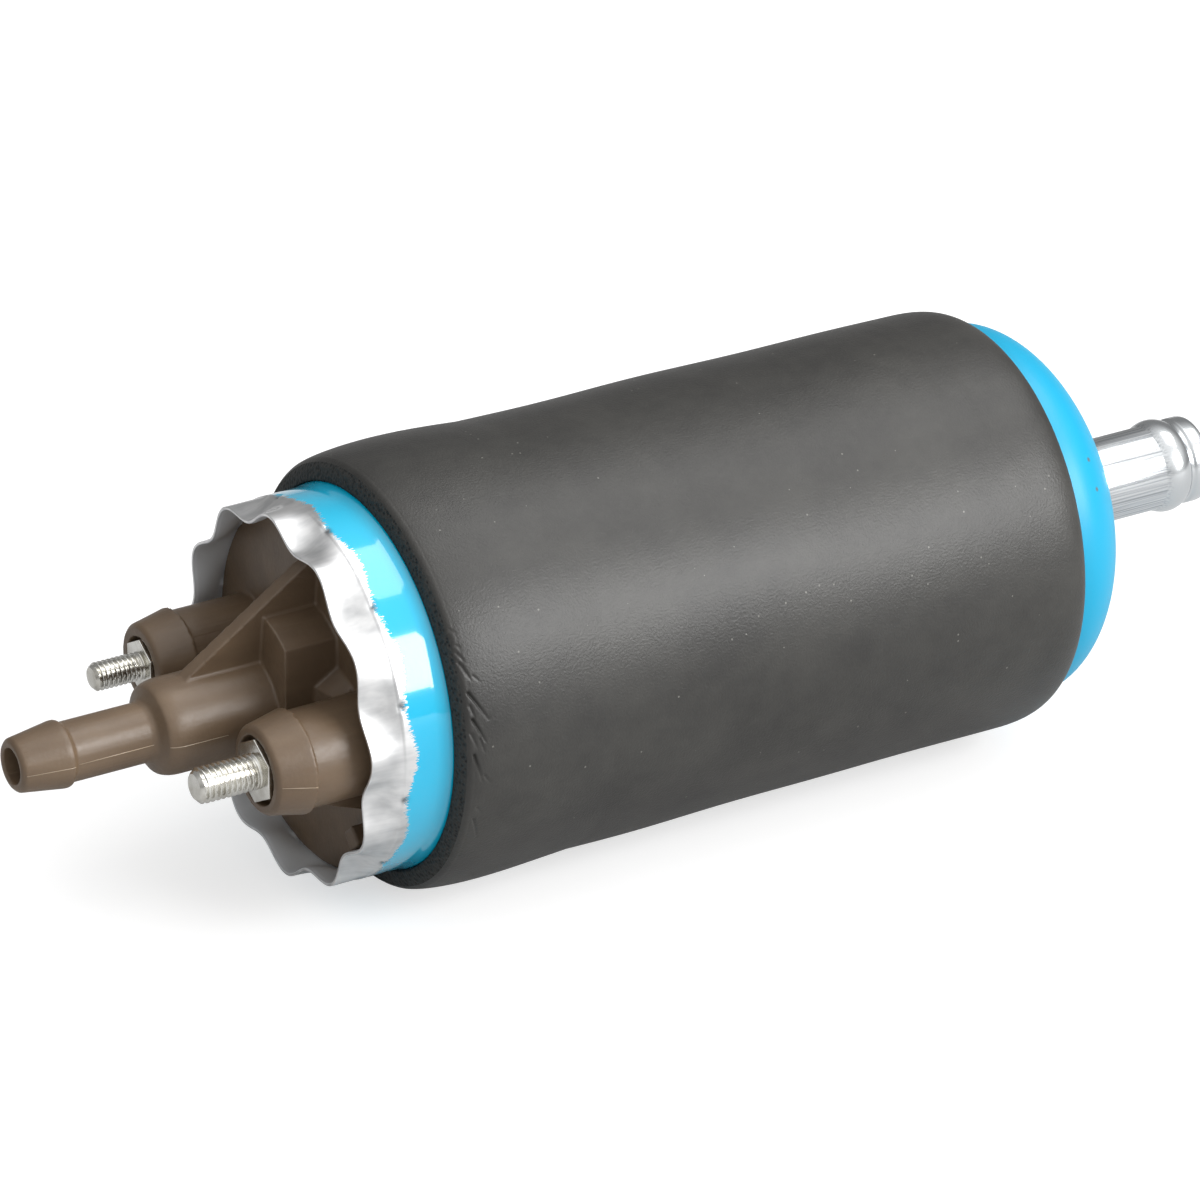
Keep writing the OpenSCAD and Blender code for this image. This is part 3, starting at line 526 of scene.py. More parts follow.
# %% Make the can
def make_can():
    mesh = turned_mesh("can_shell", can_points, can_steps)
    inner_wall = mesh.attributes.new("inner_wall", "BOOLEAN", "FACE")
    rings = np.arange(len(mesh.polygons)) // can_steps
    inner_wall.data.foreach_set("value", rings >= first_inner_ring)
    piece = finished("can_shell", mesh, can_coat, can_inside)
    keep_nodes_result(piece, fluted, **{
        "Flutes": flutes, "Depth": flute_depth * MM, "Root": head_face * MM, "Length": rim_len * MM,
        "Clocking": math.radians(flute_clocking), "Nick": nick_depth * MM, "Coat edge": coat_edge * MM,
        "Coat wave": coat_wave * MM, "Coat": can_coat, "Bare": can_inside})
    piece.data.shade_smooth()
    return piece


can_shell = make_can()
place_piece(can_shell, "coated_can", "pump_can")

# %% [markdown]
# ## Foam rubber
# The sleeve is closed cell foam rubber. Its moulded skin is charcoal, satin and finely pitted,
# with pale specks of release powder, about 0.3 mm across. Its cut ends show open cells, so
# they are blacker and rough: light is lost in the pits. Real cells are finer than a pixel
# here, so they are drawn at about 0.6 mm, and the skin's pits at about 0.3 mm. An image could
# hold such a surface, but noise and cells from nodes have no seam and no limit of size.

# %% Foam materials
def make_foam_skin():
    # soft charcoal sheen that glows along the top; from near it is mottled and finely pitted
    material, tree, shader, position = new_material(
        "foam_rubber_moulded_skin", "#2e2d2b", 0.44, Specular_IOR_Level=0.5)
    cloud = add(tree, "ShaderNodeTexNoise", {
        "Vector": position, "Scale": 60.0, "Detail": 9.0, "Roughness": 0.75})
    tone = add(tree, "ShaderNodeValToRGB", {"Fac": cloud.outputs["Fac"]},
               stops=[(0.35, "#272624"), (0.65, "#363532")])
    speck = add(tree, "ShaderNodeTexVoronoi", {"Vector": position, "Scale": 900.0})
    seed = add(tree, "ShaderNodeSeparateColor", {"Color": speck.outputs["Color"]})
    rare = add(tree, "ShaderNodeMath", {0: seed.outputs["Red"], 1: 0.93}, operation="GREATER_THAN")
    small = add(tree, "ShaderNodeMath", {0: speck.outputs["Distance"], 1: 0.13}, operation="LESS_THAN")
    both = add(tree, "ShaderNodeMath", {0: rare, 1: small}, operation="MULTIPLY")
    mix = add(tree, "ShaderNodeMix", {
        "Factor": both, "A": tone, "B": linear("#64635e")}, data_type="RGBA")
    tree.links.new(mix.outputs["Result"], shader.inputs["Base Color"])
    fine = add(tree, "ShaderNodeTexNoise", {"Vector": position, "Scale": 3000.0, "Detail": 3.0})
    bump = add(tree, "ShaderNodeBump", {
        "Height": fine.outputs["Fac"], "Strength": 0.9, "Distance": 0.06 * MM})
    tree.links.new(bump.outputs["Normal"], shader.inputs["Normal"])
    return material


def make_foam_cut():
    # blacker than the skin and without any sheen, because the open cells swallow the light
    material, tree, shader, position = new_material(
        "foam_rubber_cut_cells", "#222222", 0.8, Specular_IOR_Level=0.35)
    cells = add(tree, "ShaderNodeTexVoronoi", {"Vector": position, "Scale": 1700.0}).outputs["Distance"]
    tone = add(tree, "ShaderNodeValToRGB", {"Fac": cells}, stops=[(0.1, "#111111"), (0.5, "#343432")])
    tree.links.new(tone.outputs["Color"], shader.inputs["Base Color"])
    bump = add(tree, "ShaderNodeBump", {"Height": cells, "Strength": 1.0, "Distance": 0.25 * MM})
    tree.links.new(bump.outputs["Normal"], shader.inputs["Normal"])
    return material


foam_skin = make_foam_skin()
foam_cut = make_foam_cut()
print("foam finishes", foam_skin.name, foam_cut.name)

# %% [markdown]
# ## The foam sleeve
# The real sleeve is a length of foam tube, stretched over the can. It swells where it stands
# off the shoulder and draws in over the dome. It is turned from an outline with those forms,
# then every point is moved a little along its radius: slow waves, because foam never lies
# quite round, slits where the stretched front edge has torn, each with its own place, and
# long faint creases near the rear. A cloth simulation would swell it, but would not put the
# slits where they are. The steps round it are finest on the side with the slits.

# %% Foam outline
foam_inner = can_r + 0.05
foam_outer = can_r + 3.1
foam_front, foam_rear = foam_low[0], foam_high[0]
edge_len = 1.6
bulge_len = 22.0
bulge_height = 0.7
bulge_skew = 0.73
lip_len = 6.0
lip_t = 1.0
fullness = 0.78
# the side with the slits, and the steps round the sleeve, in degrees from +Y towards +Z
slits_from = 143
slits_to = 208
plain_step = 1.3
slit_step = 0.25


def foam_outline():
    """Outside from the front edge to the rear lip, then back along the can."""
    front = [(foam_front + edge_len * (1 - math.cos(a)),
              foam_inner + (foam_outer - foam_inner) * math.sin(a)) for a in np.linspace(0, math.pi / 2, 16)]
    bulge_shares = np.concatenate([np.linspace(0, 0.1, 20), np.linspace(0.1, 1, 34)[1:]])[1:]
    bulge = [(foam_front + edge_len + t * bulge_len,
              foam_outer + bulge_height * math.sin(math.pi * t ** bulge_skew)) for t in bulge_shares]
    straight_start = foam_front + edge_len + bulge_len
    straight = [(x, foam_outer) for x in np.linspace(straight_start, foam_rear - lip_len, 76)[1:-1]]
    rear = [(foam_rear - lip_len * (1 - math.sin(a) ** fullness),
             foam_inner + lip_t + (foam_outer - foam_inner - lip_t) * max(math.cos(a), 0) ** fullness)
            for a in np.linspace(0, math.pi / 2, 26)]
    end = [(foam_rear, foam_inner + 0.5), (foam_rear, foam_inner)]
    inside = [(x, foam_inner) for x in np.linspace(foam_rear, foam_front, 12)[1:-1]]
    return np.array(front + bulge + straight + rear + end + inside)


foam_points = foam_outline()
foam_angles = np.radians(np.concatenate([
    np.arange(0, slits_from, plain_step), np.arange(slits_from, slits_to, slit_step),
    np.arange(slits_to, 360, plain_step)]))
print("foam outline", len(foam_points), "points and", len(foam_angles), "steps round")

# %% Waves, slits and creases in the foam
# start x and angle, end x and angle, depth; x in millimetres from the shoulder, angles in degrees
EDGE_SLITS = [
    (0.1, 144.8, 0.5, 146.0, 0.25), (0.3, 149.0, 0.7, 150.0, 0.25), (0.1, 151.0, 0.8, 153.5, 0.4),
    (0.1, 153.5, 1.1, 158.2, 0.7), (1.5, 157.5, 2.4, 159.5, 0.2), (0.5, 161.5, 2.7, 169.2, 0.8),
    (0.4, 164.8, 0.9, 168.2, 0.5), (0.6, 168.5, 2.1, 175.0, 0.9), (1.4, 174.0, 1.9, 177.8, 0.5),
    (0.2, 172.2, 0.9, 176.2, 0.5), (0.5, 178.2, 1.6, 185.8, 0.8), (1.9, 184.5, 2.8, 187.0, 0.3),
    (1.2, 194.2, 2.0, 196.2, 0.25), (1.0, 198.0, 2.1, 205.0, 0.35),
]
# middle x and angle, half length, lean, depth; x in millimetres along the frame
REAR_CREASES = [
    (31.0, 96.0, 9.0, 0.9, 0.10), (35.5, 104.0, 13.0, 0.7, 0.12), (40.0, 118.0, 12.0, 0.5, 0.10),
    (29.0, 112.0, 7.0, 1.2, 0.07), (42.0, 132.0, 9.0, 0.4, 0.07), (37.0, 84.0, 8.0, 0.8, 0.07),
]
slit_width = 0.17
crease_width = 0.5
arc = math.radians(1) * foam_outer


def edge_slits(x, degrees):
    """Depth of the slits at the front edge: deepest where each begins."""
    depth = np.zeros_like(x)
    for x_start, a_start, x_end, a_end, size in EDGE_SLITS:
        start = np.array([shoulder + x_start, a_start * arc])
        run = np.array([shoulder + x_end, a_end * arc]) - start
        off_x, off_a = x - start[0], degrees * arc - start[1]
        along = np.clip((off_x * run[0] + off_a * run[1]) / (run @ run), 0, 1)
        away = np.hypot(off_x - along * run[0], off_a - along * run[1])
        depth += 0.6 * size * np.exp(-(away / slit_width) ** 2) * (1 - 0.8 * along)
    return depth


def rear_creases(x, degrees):
    """Depth of the long faint creases where the sleeve was pulled over the dome."""
    depth = np.zeros_like(x)
    for middle_x, middle_a, length, lean, size in REAR_CREASES:
        along = (degrees - middle_a) * arc
        across = x - middle_x - lean * 0.12 * along
        fade = np.clip(1 - (along / length) ** 2, 0, 1)
        depth += size * np.exp(-(across / crease_width) ** 2) * fade
    return depth


def slow_waves(x, angle):
    """Broad waves of about a tenth of a millimetre, along the sleeve and round it."""
    return (0.10 * np.sin(2 * angle + x * 0.05 + 0.6) + 0.07 * np.sin(3 * angle - x * 0.09)
            + 0.05 * np.sin(x * 0.21 + 1.3 * np.sin(angle)) + 0.04 * np.sin(5 * angle + x * 0.16 + 2.0))


print("slits", len(EDGE_SLITS), "creases", len(REAR_CREASES))

# %% Make the foam sleeve
skin_slack = 0.12
cut_front = 0.42 * edge_len
cut_depth = 0.9


def make_foam():
    mesh = turned_mesh("foam_wrap", foam_points, angles=foam_angles)
    places = np.empty(len(mesh.vertices) * 3)
    mesh.vertices.foreach_get("co", places)
    places = places.reshape(-1, 3) / MM
    x, y, z = places.T
    radius = np.hypot(y, z)
    angle = np.arctan2(z, y)
    degrees = np.degrees(angle) % 360
    on_skin = np.clip((radius - foam_inner - 0.6) / 1.2, 0, 1)
    dents = edge_slits(x, degrees) + rear_creases(x, degrees)
    push = on_skin * (slow_waves(x, angle) - skin_slack - dents)
    scale = (radius + push) / radius
    places[:, 1] *= scale
    places[:, 2] *= scale
    mesh.vertices.foreach_set("co", (places * MM).ravel())
    piece = finished("foam_wrap", mesh, foam_skin, foam_cut)
    centres = np.array([tuple(p.center) for p in piece.data.polygons]) / MM
    radii = np.hypot(centres[:, 1], centres[:, 2])
    cut = (centres[:, 0] < foam_front + cut_front) | (radii < foam_inner + cut_depth)
    piece.data.polygons.foreach_set("material_index", cut.astype(np.int32))
    return piece


foam_wrap = make_foam()
place_piece(foam_wrap, "foam", "foam_sleeve")

# %% [markdown]
# ## Moulded head
# The head is glass filled nylon, brown and satin, with a fine grain from the mould and warm
# edges where the plastic is thin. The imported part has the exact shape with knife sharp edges.
# A Bevel modifier fails where boss, tower and web run into each other, so a copy is remeshed
# in cells of 0.22 mm and relaxed, which rounds every edge by a few tenths of a millimetre, as
# a mould does. Before that the lug beside the block gets its ramp, and the barb moves forward
# by about a millimetre, to where the photograph has it.

# %% Brown nylon
def make_nylon(name, dark, light):
    # satin brown that flows a little darker and lighter, as glass filled plastic does, and
    # lets a trace of light through at its thin edges; the mould's grain is drawn at about
    # 0.6 mm, coarser than life, so that it shows
    material, tree, shader, position = new_material(
        name, "#645240", 0.4, Subsurface_Weight=0.06, Subsurface_Radius=(1.0, 0.5, 0.3),
        Subsurface_Scale=0.6 * MM)
    flow = add(tree, "ShaderNodeMapping", {"Vector": position, "Scale": (90.0, 260.0, 260.0)})
    cloud = add(tree, "ShaderNodeTexNoise", {"Vector": flow, "Scale": 1.0, "Detail": 3.0}).outputs["Fac"]
    tone = add(tree, "ShaderNodeValToRGB", {"Fac": cloud}, stops=[(0.3, dark), (0.7, light)])
    tree.links.new(tone.outputs["Color"], shader.inputs["Base Color"])
    grain = add(tree, "ShaderNodeTexNoise", {
        "Vector": position, "Scale": 1800.0, "Detail": 3.0}).outputs["Fac"]
    fine = add(tree, "ShaderNodeBump", {"Height": grain, "Strength": 0.5, "Distance": 0.05 * MM})
    ripple = add(tree, "ShaderNodeBump", {
        "Height": cloud, "Strength": 0.5, "Distance": 0.15 * MM, "Normal": fine})
    tree.links.new(ripple.outputs["Normal"], shader.inputs["Normal"])
    sheen = add(tree, "ShaderNodeMapRange", {"Value": grain, "To Min": 0.32, "To Max": 0.5})
    tree.links.new(sheen.outputs["Result"], shader.inputs["Roughness"])
    return material


head_plastic = make_nylon("nylon_glass_filled_moulded", "#5d4c3b", "#6a5845")
# the flash is thin and paler than the solid plastic, and its pale colour is also a painted highlight along
# each ridge
flash_with_painted_highlight = make_nylon("nylon_flash_with_painted_highlight", "#9c8b77", "#9c8b77")
print("head finishes", head_plastic.name, flash_with_painted_highlight.name)

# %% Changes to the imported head
head_cell = 0.22
tower_top = head_face - 24.4
shank_front = tower_top - 11.4
barb_tip = head_low[0]
packed_lug = (-11.4, 6.06)
packed_lug_reach = 4.0
packed_lug_height = 3.0


def applied(piece):
    """Turns a piece's modifiers into its plain mesh."""
    graph = bpy.context.evaluated_depsgraph_get()
    made = bpy.data.meshes.new_from_object(piece.evaluated_get(graph), depsgraph=graph)
    piece.modifiers.clear()
    piece.data = made
    return piece


def join_meshes(piece, meshes):
    """Adds plain meshes to a piece, whose own materials stay."""
    work = bmesh.new()
    work.from_mesh(piece.data)
    for mesh in meshes:
        extra = bmesh.new()
        extra.from_mesh(mesh)
        bmesh.ops.recalc_face_normals(extra, faces=extra.faces)
        extra.to_mesh(mesh)
        extra.free()
        work.from_mesh(mesh)
    work.to_mesh(piece.data)
    work.free()
    piece.data.shade_smooth()


def press_in(mesh, middle, reach, height):
    """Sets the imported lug's front corners back to the face of the head."""
    for vertex in mesh.vertices:
        x, y, z = vertex.co / MM
        near = math.hypot(y - middle[0], z - middle[1]) < reach
        if near and head_face - height < x < head_face - 0.1:
            vertex.co.x = head_face * MM


def lug_mesh():
    """The moulded lug beside the block: a ramp that rises from the face to a blunt front."""
    root = head_face + 0.6
    front = head_face - 3.6
    thickness = 3.0
    top = [(front, -8.1, 4.7), (front + 1.35, -12.65, 4.17), (root, -12.2, 6.1), (root, -7.6, 7.5)]
    low = [(x, y, z - thickness) for x, y, z in top]
    faces = [(0, 1, 2, 3), (7, 6, 5, 4), (0, 4, 5, 1), (1, 5, 6, 2), (2, 6, 7, 3), (3, 7, 4, 0)]
    mesh = bpy.data.meshes.new("lug")
    mesh.from_pydata((np.array(top + low) * MM).tolist(), [], faces)
    return mesh


def barb_shift(x):
    """How far the spout's stations move forward, so that the barb has the length seen."""
    return np.interp(x, (barb_tip, shank_front, shank_front + 0.8, tower_top), (-0.6, -1.2, -1.2, 0.0))


# %% Rounded copy of the head
def make_head():
    mesh = frame["nodes"]["outlet_head"].data.copy()
    mesh.name = "moulded_head"
    for vertex in mesh.vertices:
        vertex.co.x += barb_shift(vertex.co.x / MM) * MM
    press_in(mesh, packed_lug, packed_lug_reach, packed_lug_height)
    piece = finished("moulded_head", mesh, head_plastic)
    join_meshes(piece, [lug_mesh()])
    cells = piece.modifiers.new("cells", "REMESH")
    cells.mode = "VOXEL"
    cells.voxel_size = head_cell * MM
    relax = piece.modifiers.new("relax", "SMOOTH")
    relax.factor = 0.5
    relax.iterations = 2
    thin = piece.modifiers.new("thin", "DECIMATE")
    thin.ratio = 0.16
    applied(piece)
    piece.data.shade_smooth()
    piece.data.materials.clear()
    piece.data.materials.append(head_plastic)
    return piece


moulded_head = make_head()
print("head", len(moulded_head.data.polygons), "faces")

# %% [markdown]
# ## Parting lines
# The mould opens in halves and leaves a thin raised line of flash where they met. Its paler
# colour is partly the thin flash and partly a painted highlight along the ridge. It runs along
# the near side of the barb, the tower and each boss. A bump in the material would not break the
# outline, so each line is a narrow strip of mesh that follows the outline of its part, and
# belongs to the head's mesh with a material of its own.

# %% Helper for a parting line
line_width = 0.16
line_height = 0.07
line_depth = 0.15
half_ridge = 0.03


def parting_line(points, centre, first, last):
    """A flat topped ridge along (x, r) points, turning from `first` to `last` degrees."""
    origin = np.array([0, centre[0], centre[1]])
    vertices = []
    for (x, r), angle in zip(points, np.radians(np.linspace(first, last, len(points)))):
        out = np.array([0, math.cos(angle), math.sin(angle)])
        side = np.array([0, -math.sin(angle), math.cos(angle)])
        base = origin + np.array([x, 0, 0]) + out * (r - line_depth)
        top = origin + np.array([x, 0, 0]) + out * (r + line_height)
        vertices += [base - side * line_width / 2, top - side * half_ridge, top + side * half_ridge,
                     base + side * line_width / 2]
    count = len(points)
    faces = [(4 * i + j, 4 * i + (j + 1) % 4, 4 * i + 4 + (j + 1) % 4, 4 * i + 4 + j)
             for i in range(count - 1) for j in range(4)]
    faces += [(0, 1, 2, 3), tuple(4 * (count - 1) + j for j in (3, 2, 1, 0))]
    mesh = bpy.data.meshes.new("parting_line")
    mesh.from_pydata((np.array(vertices) * MM).tolist(), [], faces)
    return mesh


# %% Lines along the head
boss_front = head_face - 17.0
barb_r = 4.65
shank_r = 4.15
tower_r = 6.65
tower_round = 2.88
BOSS_R = {"positive_stud": 6.75, "negative_stud": 6.25}

stud_centres = {}
for node_name in BOSS_R:
    low, high = box_mm(node_name)
    stud_centres[node_name] = ((low[1] + high[1]) / 2, (low[2] + high[2]) / 2)

barb_line = [(barb_tip + 0.5, 3.75), (shank_front - 1.3, barb_r - 0.02), (shank_front - 0.6, barb_r)]
shank_line = [(shank_front + 0.1, shank_r), (tower_top - 1.2, shank_r)]
barb_line = [(x + barb_shift(x), r) for x, r in barb_line]
shank_line = [(x + barb_shift(x), r) for x, r in shank_line]
tower_line = [(tower_top + tower_round * (1 - math.cos(a)), tower_r - 1 + math.sin(a))
              for a in np.linspace(0.35, 1.57, 7)]
tower_line += [(tower_top + 8.5, tower_r)]
line_meshes = [parting_line(line, (0, 0), 180, 180) for line in (barb_line, shank_line, tower_line)]
for node_name, boss_r in BOSS_R.items():
    boss_line = [(boss_front + 0.6, boss_r - 0.5), (boss_front + 5.4, boss_r + 0.52)]
    line_meshes.append(parting_line(boss_line, stud_centres[node_name], 180, 185.5))
head_faces = len(moulded_head.data.polygons)
moulded_head.data.materials.append(flash_with_painted_highlight)
join_meshes(moulded_head, line_meshes)
for polygon in moulded_head.data.polygons[head_faces:]:
    polygon.material_index = 1
place_piece(moulded_head, "moulded_head", "outlet_head")

# %% [markdown]
# ## Zinc plated steel
# The studs are steel with rolled threads and bright zinc plating: silvery with a faint warm
# tint, smooth but slightly uneven, as plating follows each scratch of the blank. It is fully
# metallic, so its colour comes from what it mirrors, and the noise only tints that.

# %% Zinc plating
def make_zinc():
    # bright silver with a warm cast and small dull patches, where the plating is thinner
    material, tree, shader, position = new_material("steel_zinc_plated", "#dcdad2", 0.22, 1.0)
    cloud = add(tree, "ShaderNodeTexNoise", {"Vector": position, "Scale": 420.0, "Detail": 3.0})
    tone = add(tree, "ShaderNodeValToRGB", {"Fac": cloud.outputs["Fac"]},
               stops=[(0.3, "#c6c3ba"), (0.65, "#ecebe6")])
    tree.links.new(tone.outputs["Color"], shader.inputs["Base Color"])
    grain = add(tree, "ShaderNodeTexNoise", {"Vector": position, "Scale": 1600.0, "Detail": 2.0})
    bump = add(tree, "ShaderNodeBump", {
        "Height": grain.outputs["Fac"], "Strength": 0.4, "Distance": 0.04 * MM})
    tree.links.new(bump.outputs["Normal"], shader.inputs["Normal"])
    return material


zinc = make_zinc()
print("stud finish", zinc.name)

# %% [markdown]
# ## Terminal studs
# A rolled thread is one groove that winds along the rod, so its surface follows a rule: the
# depth depends only on the distance along the axis less the turn. A Screw modifier could wind
# a profile, but its ends would need trimming. Here a grid is wrapped round the axis in
# Geometry Nodes and pressed in by that rule, which also runs the thread out before the flange
# and chamfers the nose. The same tree makes the M5 and the M4 stud. The hexagonal flange, the
# core and the nut inside the head are plain shapes.

# %% Node tree for a thread
def thread_tree():
    tree, given = tree_with_inputs(
        "rolled_thread", Radius="Float", Pitch="Float", Depth="Float", Start="Float", Length="Float",
        Across="Float", Height="Float", Chamfer="Float", Around="Int", Along="Int", Metal="Material")
    grid = add(tree, "GeometryNodeMeshGrid", {
        "Size X": 1.0, "Size Y": 1.0, "Vertices X": given["Around"], "Vertices Y": given["Along"]})
    place = add(tree, "GeometryNodeInputPosition")
    split = add(tree, "ShaderNodeSeparateXYZ", {0: place}).outputs

    # the share of a turn round the rod, and the distance from its end
    turn = add(tree, "ShaderNodeMath", {0: split["X"], 1: 0.5}, operation="ADD")
    share = add(tree, "ShaderNodeMath", {0: split["Y"], 1: 0.5}, operation="ADD")
    distance = add(tree, "ShaderNodeMath", {0: share, 1: given["Length"]}, operation="MULTIPLY")

    # the groove, which ends within one pitch of the flange
    pitches = add(tree, "ShaderNodeMath", {0: distance, 1: given["Pitch"]}, operation="DIVIDE")
    phase = add(tree, "ShaderNodeMath", {0: pitches, 1: turn}, operation="SUBTRACT")
    saw = add(tree, "ShaderNodeMath", {0: phase, 1: 0.5}, operation="PINGPONG")
    flank = add(tree, "ShaderNodeMapRange", {"Value": saw, "From Min": 0.06, "From Max": 0.44},
                interpolation_type="SMOOTHSTEP")
    left = add(tree, "ShaderNodeMath", {0: given["Length"], 1: distance}, operation="SUBTRACT")
    runout = add(tree, "ShaderNodeMapRange", {"Value": left, "From Min": 0.0, "From Max": given["Pitch"]})
    groove = add(tree, "ShaderNodeMath", {0: flank, 1: given["Depth"]}, operation="MULTIPLY")
    cut = add(tree, "ShaderNodeMath", {0: groove, 1: runout}, operation="MULTIPLY")
    threaded = add(tree, "ShaderNodeMath", {0: given["Radius"], 1: cut}, operation="SUBTRACT")

    # the chamfered nose
    nose_r = add(tree, "ShaderNodeMath", {0: given["Radius"], 1: given["Chamfer"]}, operation="SUBTRACT")
    nose = add(tree, "ShaderNodeMath", {0: nose_r, 1: distance}, operation="ADD")
    radius = add(tree, "ShaderNodeMath", {0: threaded, 1: nose}, operation="MINIMUM")

    # the flat grid, wrapped round the rod's axis
    angle = add(tree, "ShaderNodeMath", {0: turn, 1: 2 * math.pi}, operation="MULTIPLY")
    cosine = add(tree, "ShaderNodeMath", {0: angle}, operation="COSINE")
    sine = add(tree, "ShaderNodeMath", {0: angle}, operation="SINE")
    along = add(tree, "ShaderNodeMath", {0: given["Start"], 1: distance}, operation="ADD")
    across = add(tree, "ShaderNodeMath", {0: cosine, 1: radius, 2: given["Across"]}, operation="MULTIPLY_ADD")
    height = add(tree, "ShaderNodeMath", {0: sine, 1: radius, 2: given["Height"]}, operation="MULTIPLY_ADD")
    wrapped = add(tree, "ShaderNodeCombineXYZ", {"X": along, "Y": across, "Z": height})
    moved = add(tree, "GeometryNodeSetPosition", {"Geometry": grid, "Position": wrapped})
    welded = add(tree, "GeometryNodeMergeByDistance", {"Geometry": moved, "Distance": 1e-6})
    real = add(tree, "GeometryNodeRealizeInstances", {"Geometry": welded})
    metal = add(tree, "GeometryNodeSetMaterial", {"Geometry": real, "Material": given["Metal"]})
    add(tree, "NodeGroupOutput", {"Geometry": metal})
    return tree


rolled_thread = thread_tree()
print("thread tree", len(rolled_thread.nodes), "nodes")

# %% Shapes at the foot of a stud
core_r = 1.6
nut_corner_r = 3.4
head_back = head_face + 5.0
flange_front = boss_front - 0.3
flange_seat = boss_front + 1.6


def moved_mesh(mesh, centre):
    """Moves a mesh from the pump's axis to the axis through `centre` (y, z)."""
    mesh.transform(Matrix.Translation((0, centre[0] * MM, centre[1] * MM)))
    return mesh


def hexagon(name, start, end, corner_r, centre):
    """A hexagonal prism along X with its edges rounded a little."""
    work = bmesh.new()
    angles = [math.radians(60 * i) for i in range(6)]
    corners = [(corner_r * math.sin(a), corner_r * math.cos(a)) for a in angles]
    ends = [[work.verts.new((x * MM, y * MM, z * MM)) for y, z in corners] for x in (start, end)]
    for i in range(6):
        j = (i + 1) % 6
        work.faces.new((ends[0][i], ends[0][j], ends[1][j], ends[1][i]))
    work.faces.new(ends[0])
    work.faces.new(ends[1])
    bmesh.ops.recalc_face_normals(work, faces=work.faces)
    bmesh.ops.bevel(work, geom=work.edges[:] + work.verts[:], offset=0.14 * MM, segments=3, profile=0.6,
                    affect="EDGES")
    mesh = bpy.data.meshes.new(name)
    work.to_mesh(mesh)
    work.free()
    return moved_mesh(mesh, centre)


def core_mesh(centre):
    """The rod that carries the current through the head to the brushes."""
    outline = rounded([
        (boss_front + 1.0, 0.0), (boss_front + 1.0, core_r, 0.1), (head_back + 3.0, core_r, 0.3),
        (head_back + 3.0, 0.0)])
    return moved_mesh(turned_mesh("core", outline, 32), centre)


print("flange", round(flange_front, 2), "to", round(flange_seat, 2), "nut at", round(head_back, 2))

# %% Make the two studs
def make_stud(name, node, diameter, pitch, length, flange_r, rows_per_mm):
    centre = stud_centres[node]
    piece = bpy.data.objects.new(name, bpy.data.meshes.new(name))
    scene.collection.objects.link(piece)
    keep_nodes_result(piece, rolled_thread, **{
        "Radius": diameter / 2 * MM, "Pitch": pitch * MM, "Depth": 0.6 * pitch * MM,
        "Start": (flange_front - length) * MM, "Length": (length + 0.1) * MM, "Across": centre[0] * MM,
        "Height": centre[1] * MM, "Chamfer": 0.14 * diameter * MM, "Around": 73,
        "Along": int(length * rows_per_mm), "Metal": zinc})
    work = bmesh.new()
    work.from_mesh(piece.data)
    loops = [edge for edge in work.edges if edge.is_boundary]
    bmesh.ops.holes_fill(work, edges=loops, sides=0)
    bmesh.ops.recalc_face_normals(work, faces=work.faces)
    work.to_mesh(piece.data)
    work.free()
    join_meshes(piece, [
        hexagon("flange", flange_front, flange_seat, flange_r, centre),
        hexagon("nut", head_back, head_back + 2.0, nut_corner_r, centre),
        core_mesh(centre)])
    piece.data.materials.clear()
    piece.data.materials.append(zinc)
    piece.data.set_sharp_from_angle(angle=math.radians(35))
    place_piece(piece, "zinc_steel", node)


make_stud("stud_m5", "positive_stud", 5.0, 0.8, 8.9, 4.7, 14)
make_stud("stud_m4", "negative_stud", 4.0, 0.7, 7.2, 3.9, 16)

# %% [markdown]
# ## Inlet spigot
# The spigot is turned from aluminium bar. Ahead of the bead it was polished along its length,
# which leaves fine lines that stretch the reflections, and a groove separates the bead from
# the end lip. It is one outline, turned about the axis, with its bore. The lines are noise
# that is a hundred times longer than it is wide, at about 0.25 mm, which is as fine as the
# render can show. An anisotropic shader could stretch the reflections too, but has no lines.

# %% Sizes of the spigot
spigot_end = spigot_high[0]
bead_middle = spigot_end - 5.4
bead_half = 2.1
bead_height = 0.65
collar_r = 9.0
collar_t = 1.2
groove_r = 5.9
lip_r = 6.2
bore_r = 4.8
polish_end = bead_middle - bead_half - 0.08
polish_fade = 1.0
print("bead from", round(bead_middle - bead_half, 2), "to", round(bead_middle + bead_half, 2))

# %% Turned aluminium
def make_turned_aluminium():
    # bright and cool; on the shank fine lines drag each reflection along, the bead stays clear
    material, tree, shader, position = new_material("aluminium_turned_polished", "#c2c5c8", 0.2, 1.0)
    lines = add(tree, "ShaderNodeMapping", {"Vector": position, "Scale": (40.0, 3800.0, 3800.0)})
    scratch = add(tree, "ShaderNodeTexNoise", {
        "Vector": lines, "Scale": 1.0, "Detail": 3.0, "Roughness": 0.6}).outputs["Fac"]
    along = add(tree, "ShaderNodeSeparateXYZ", {0: position}).outputs["X"]
    on_shank = add(tree, "ShaderNodeMapRange", {
        "Value": along, "From Min": (polish_end + polish_fade) * MM, "From Max": polish_end * MM})
    tone = add(tree, "ShaderNodeValToRGB", {"Fac": scratch}, stops=[(0.35, "#aaaeb2"), (0.6, "#e0e3e5")])
    plain = add(tree, "ShaderNodeMix", {
        "Factor": on_shank, "A": linear("#d3d6d8"), "B": tone}, data_type="RGBA")
    tree.links.new(plain.outputs["Result"], shader.inputs["Base Color"])
    strength = add(tree, "ShaderNodeMath", {0: on_shank, 1: 0.9}, operation="MULTIPLY")
    bump = add(tree, "ShaderNodeBump", {"Height": scratch, "Strength": strength, "Distance": 0.03 * MM})
    tree.links.new(bump.outputs["Normal"], shader.inputs["Normal"])
    return material


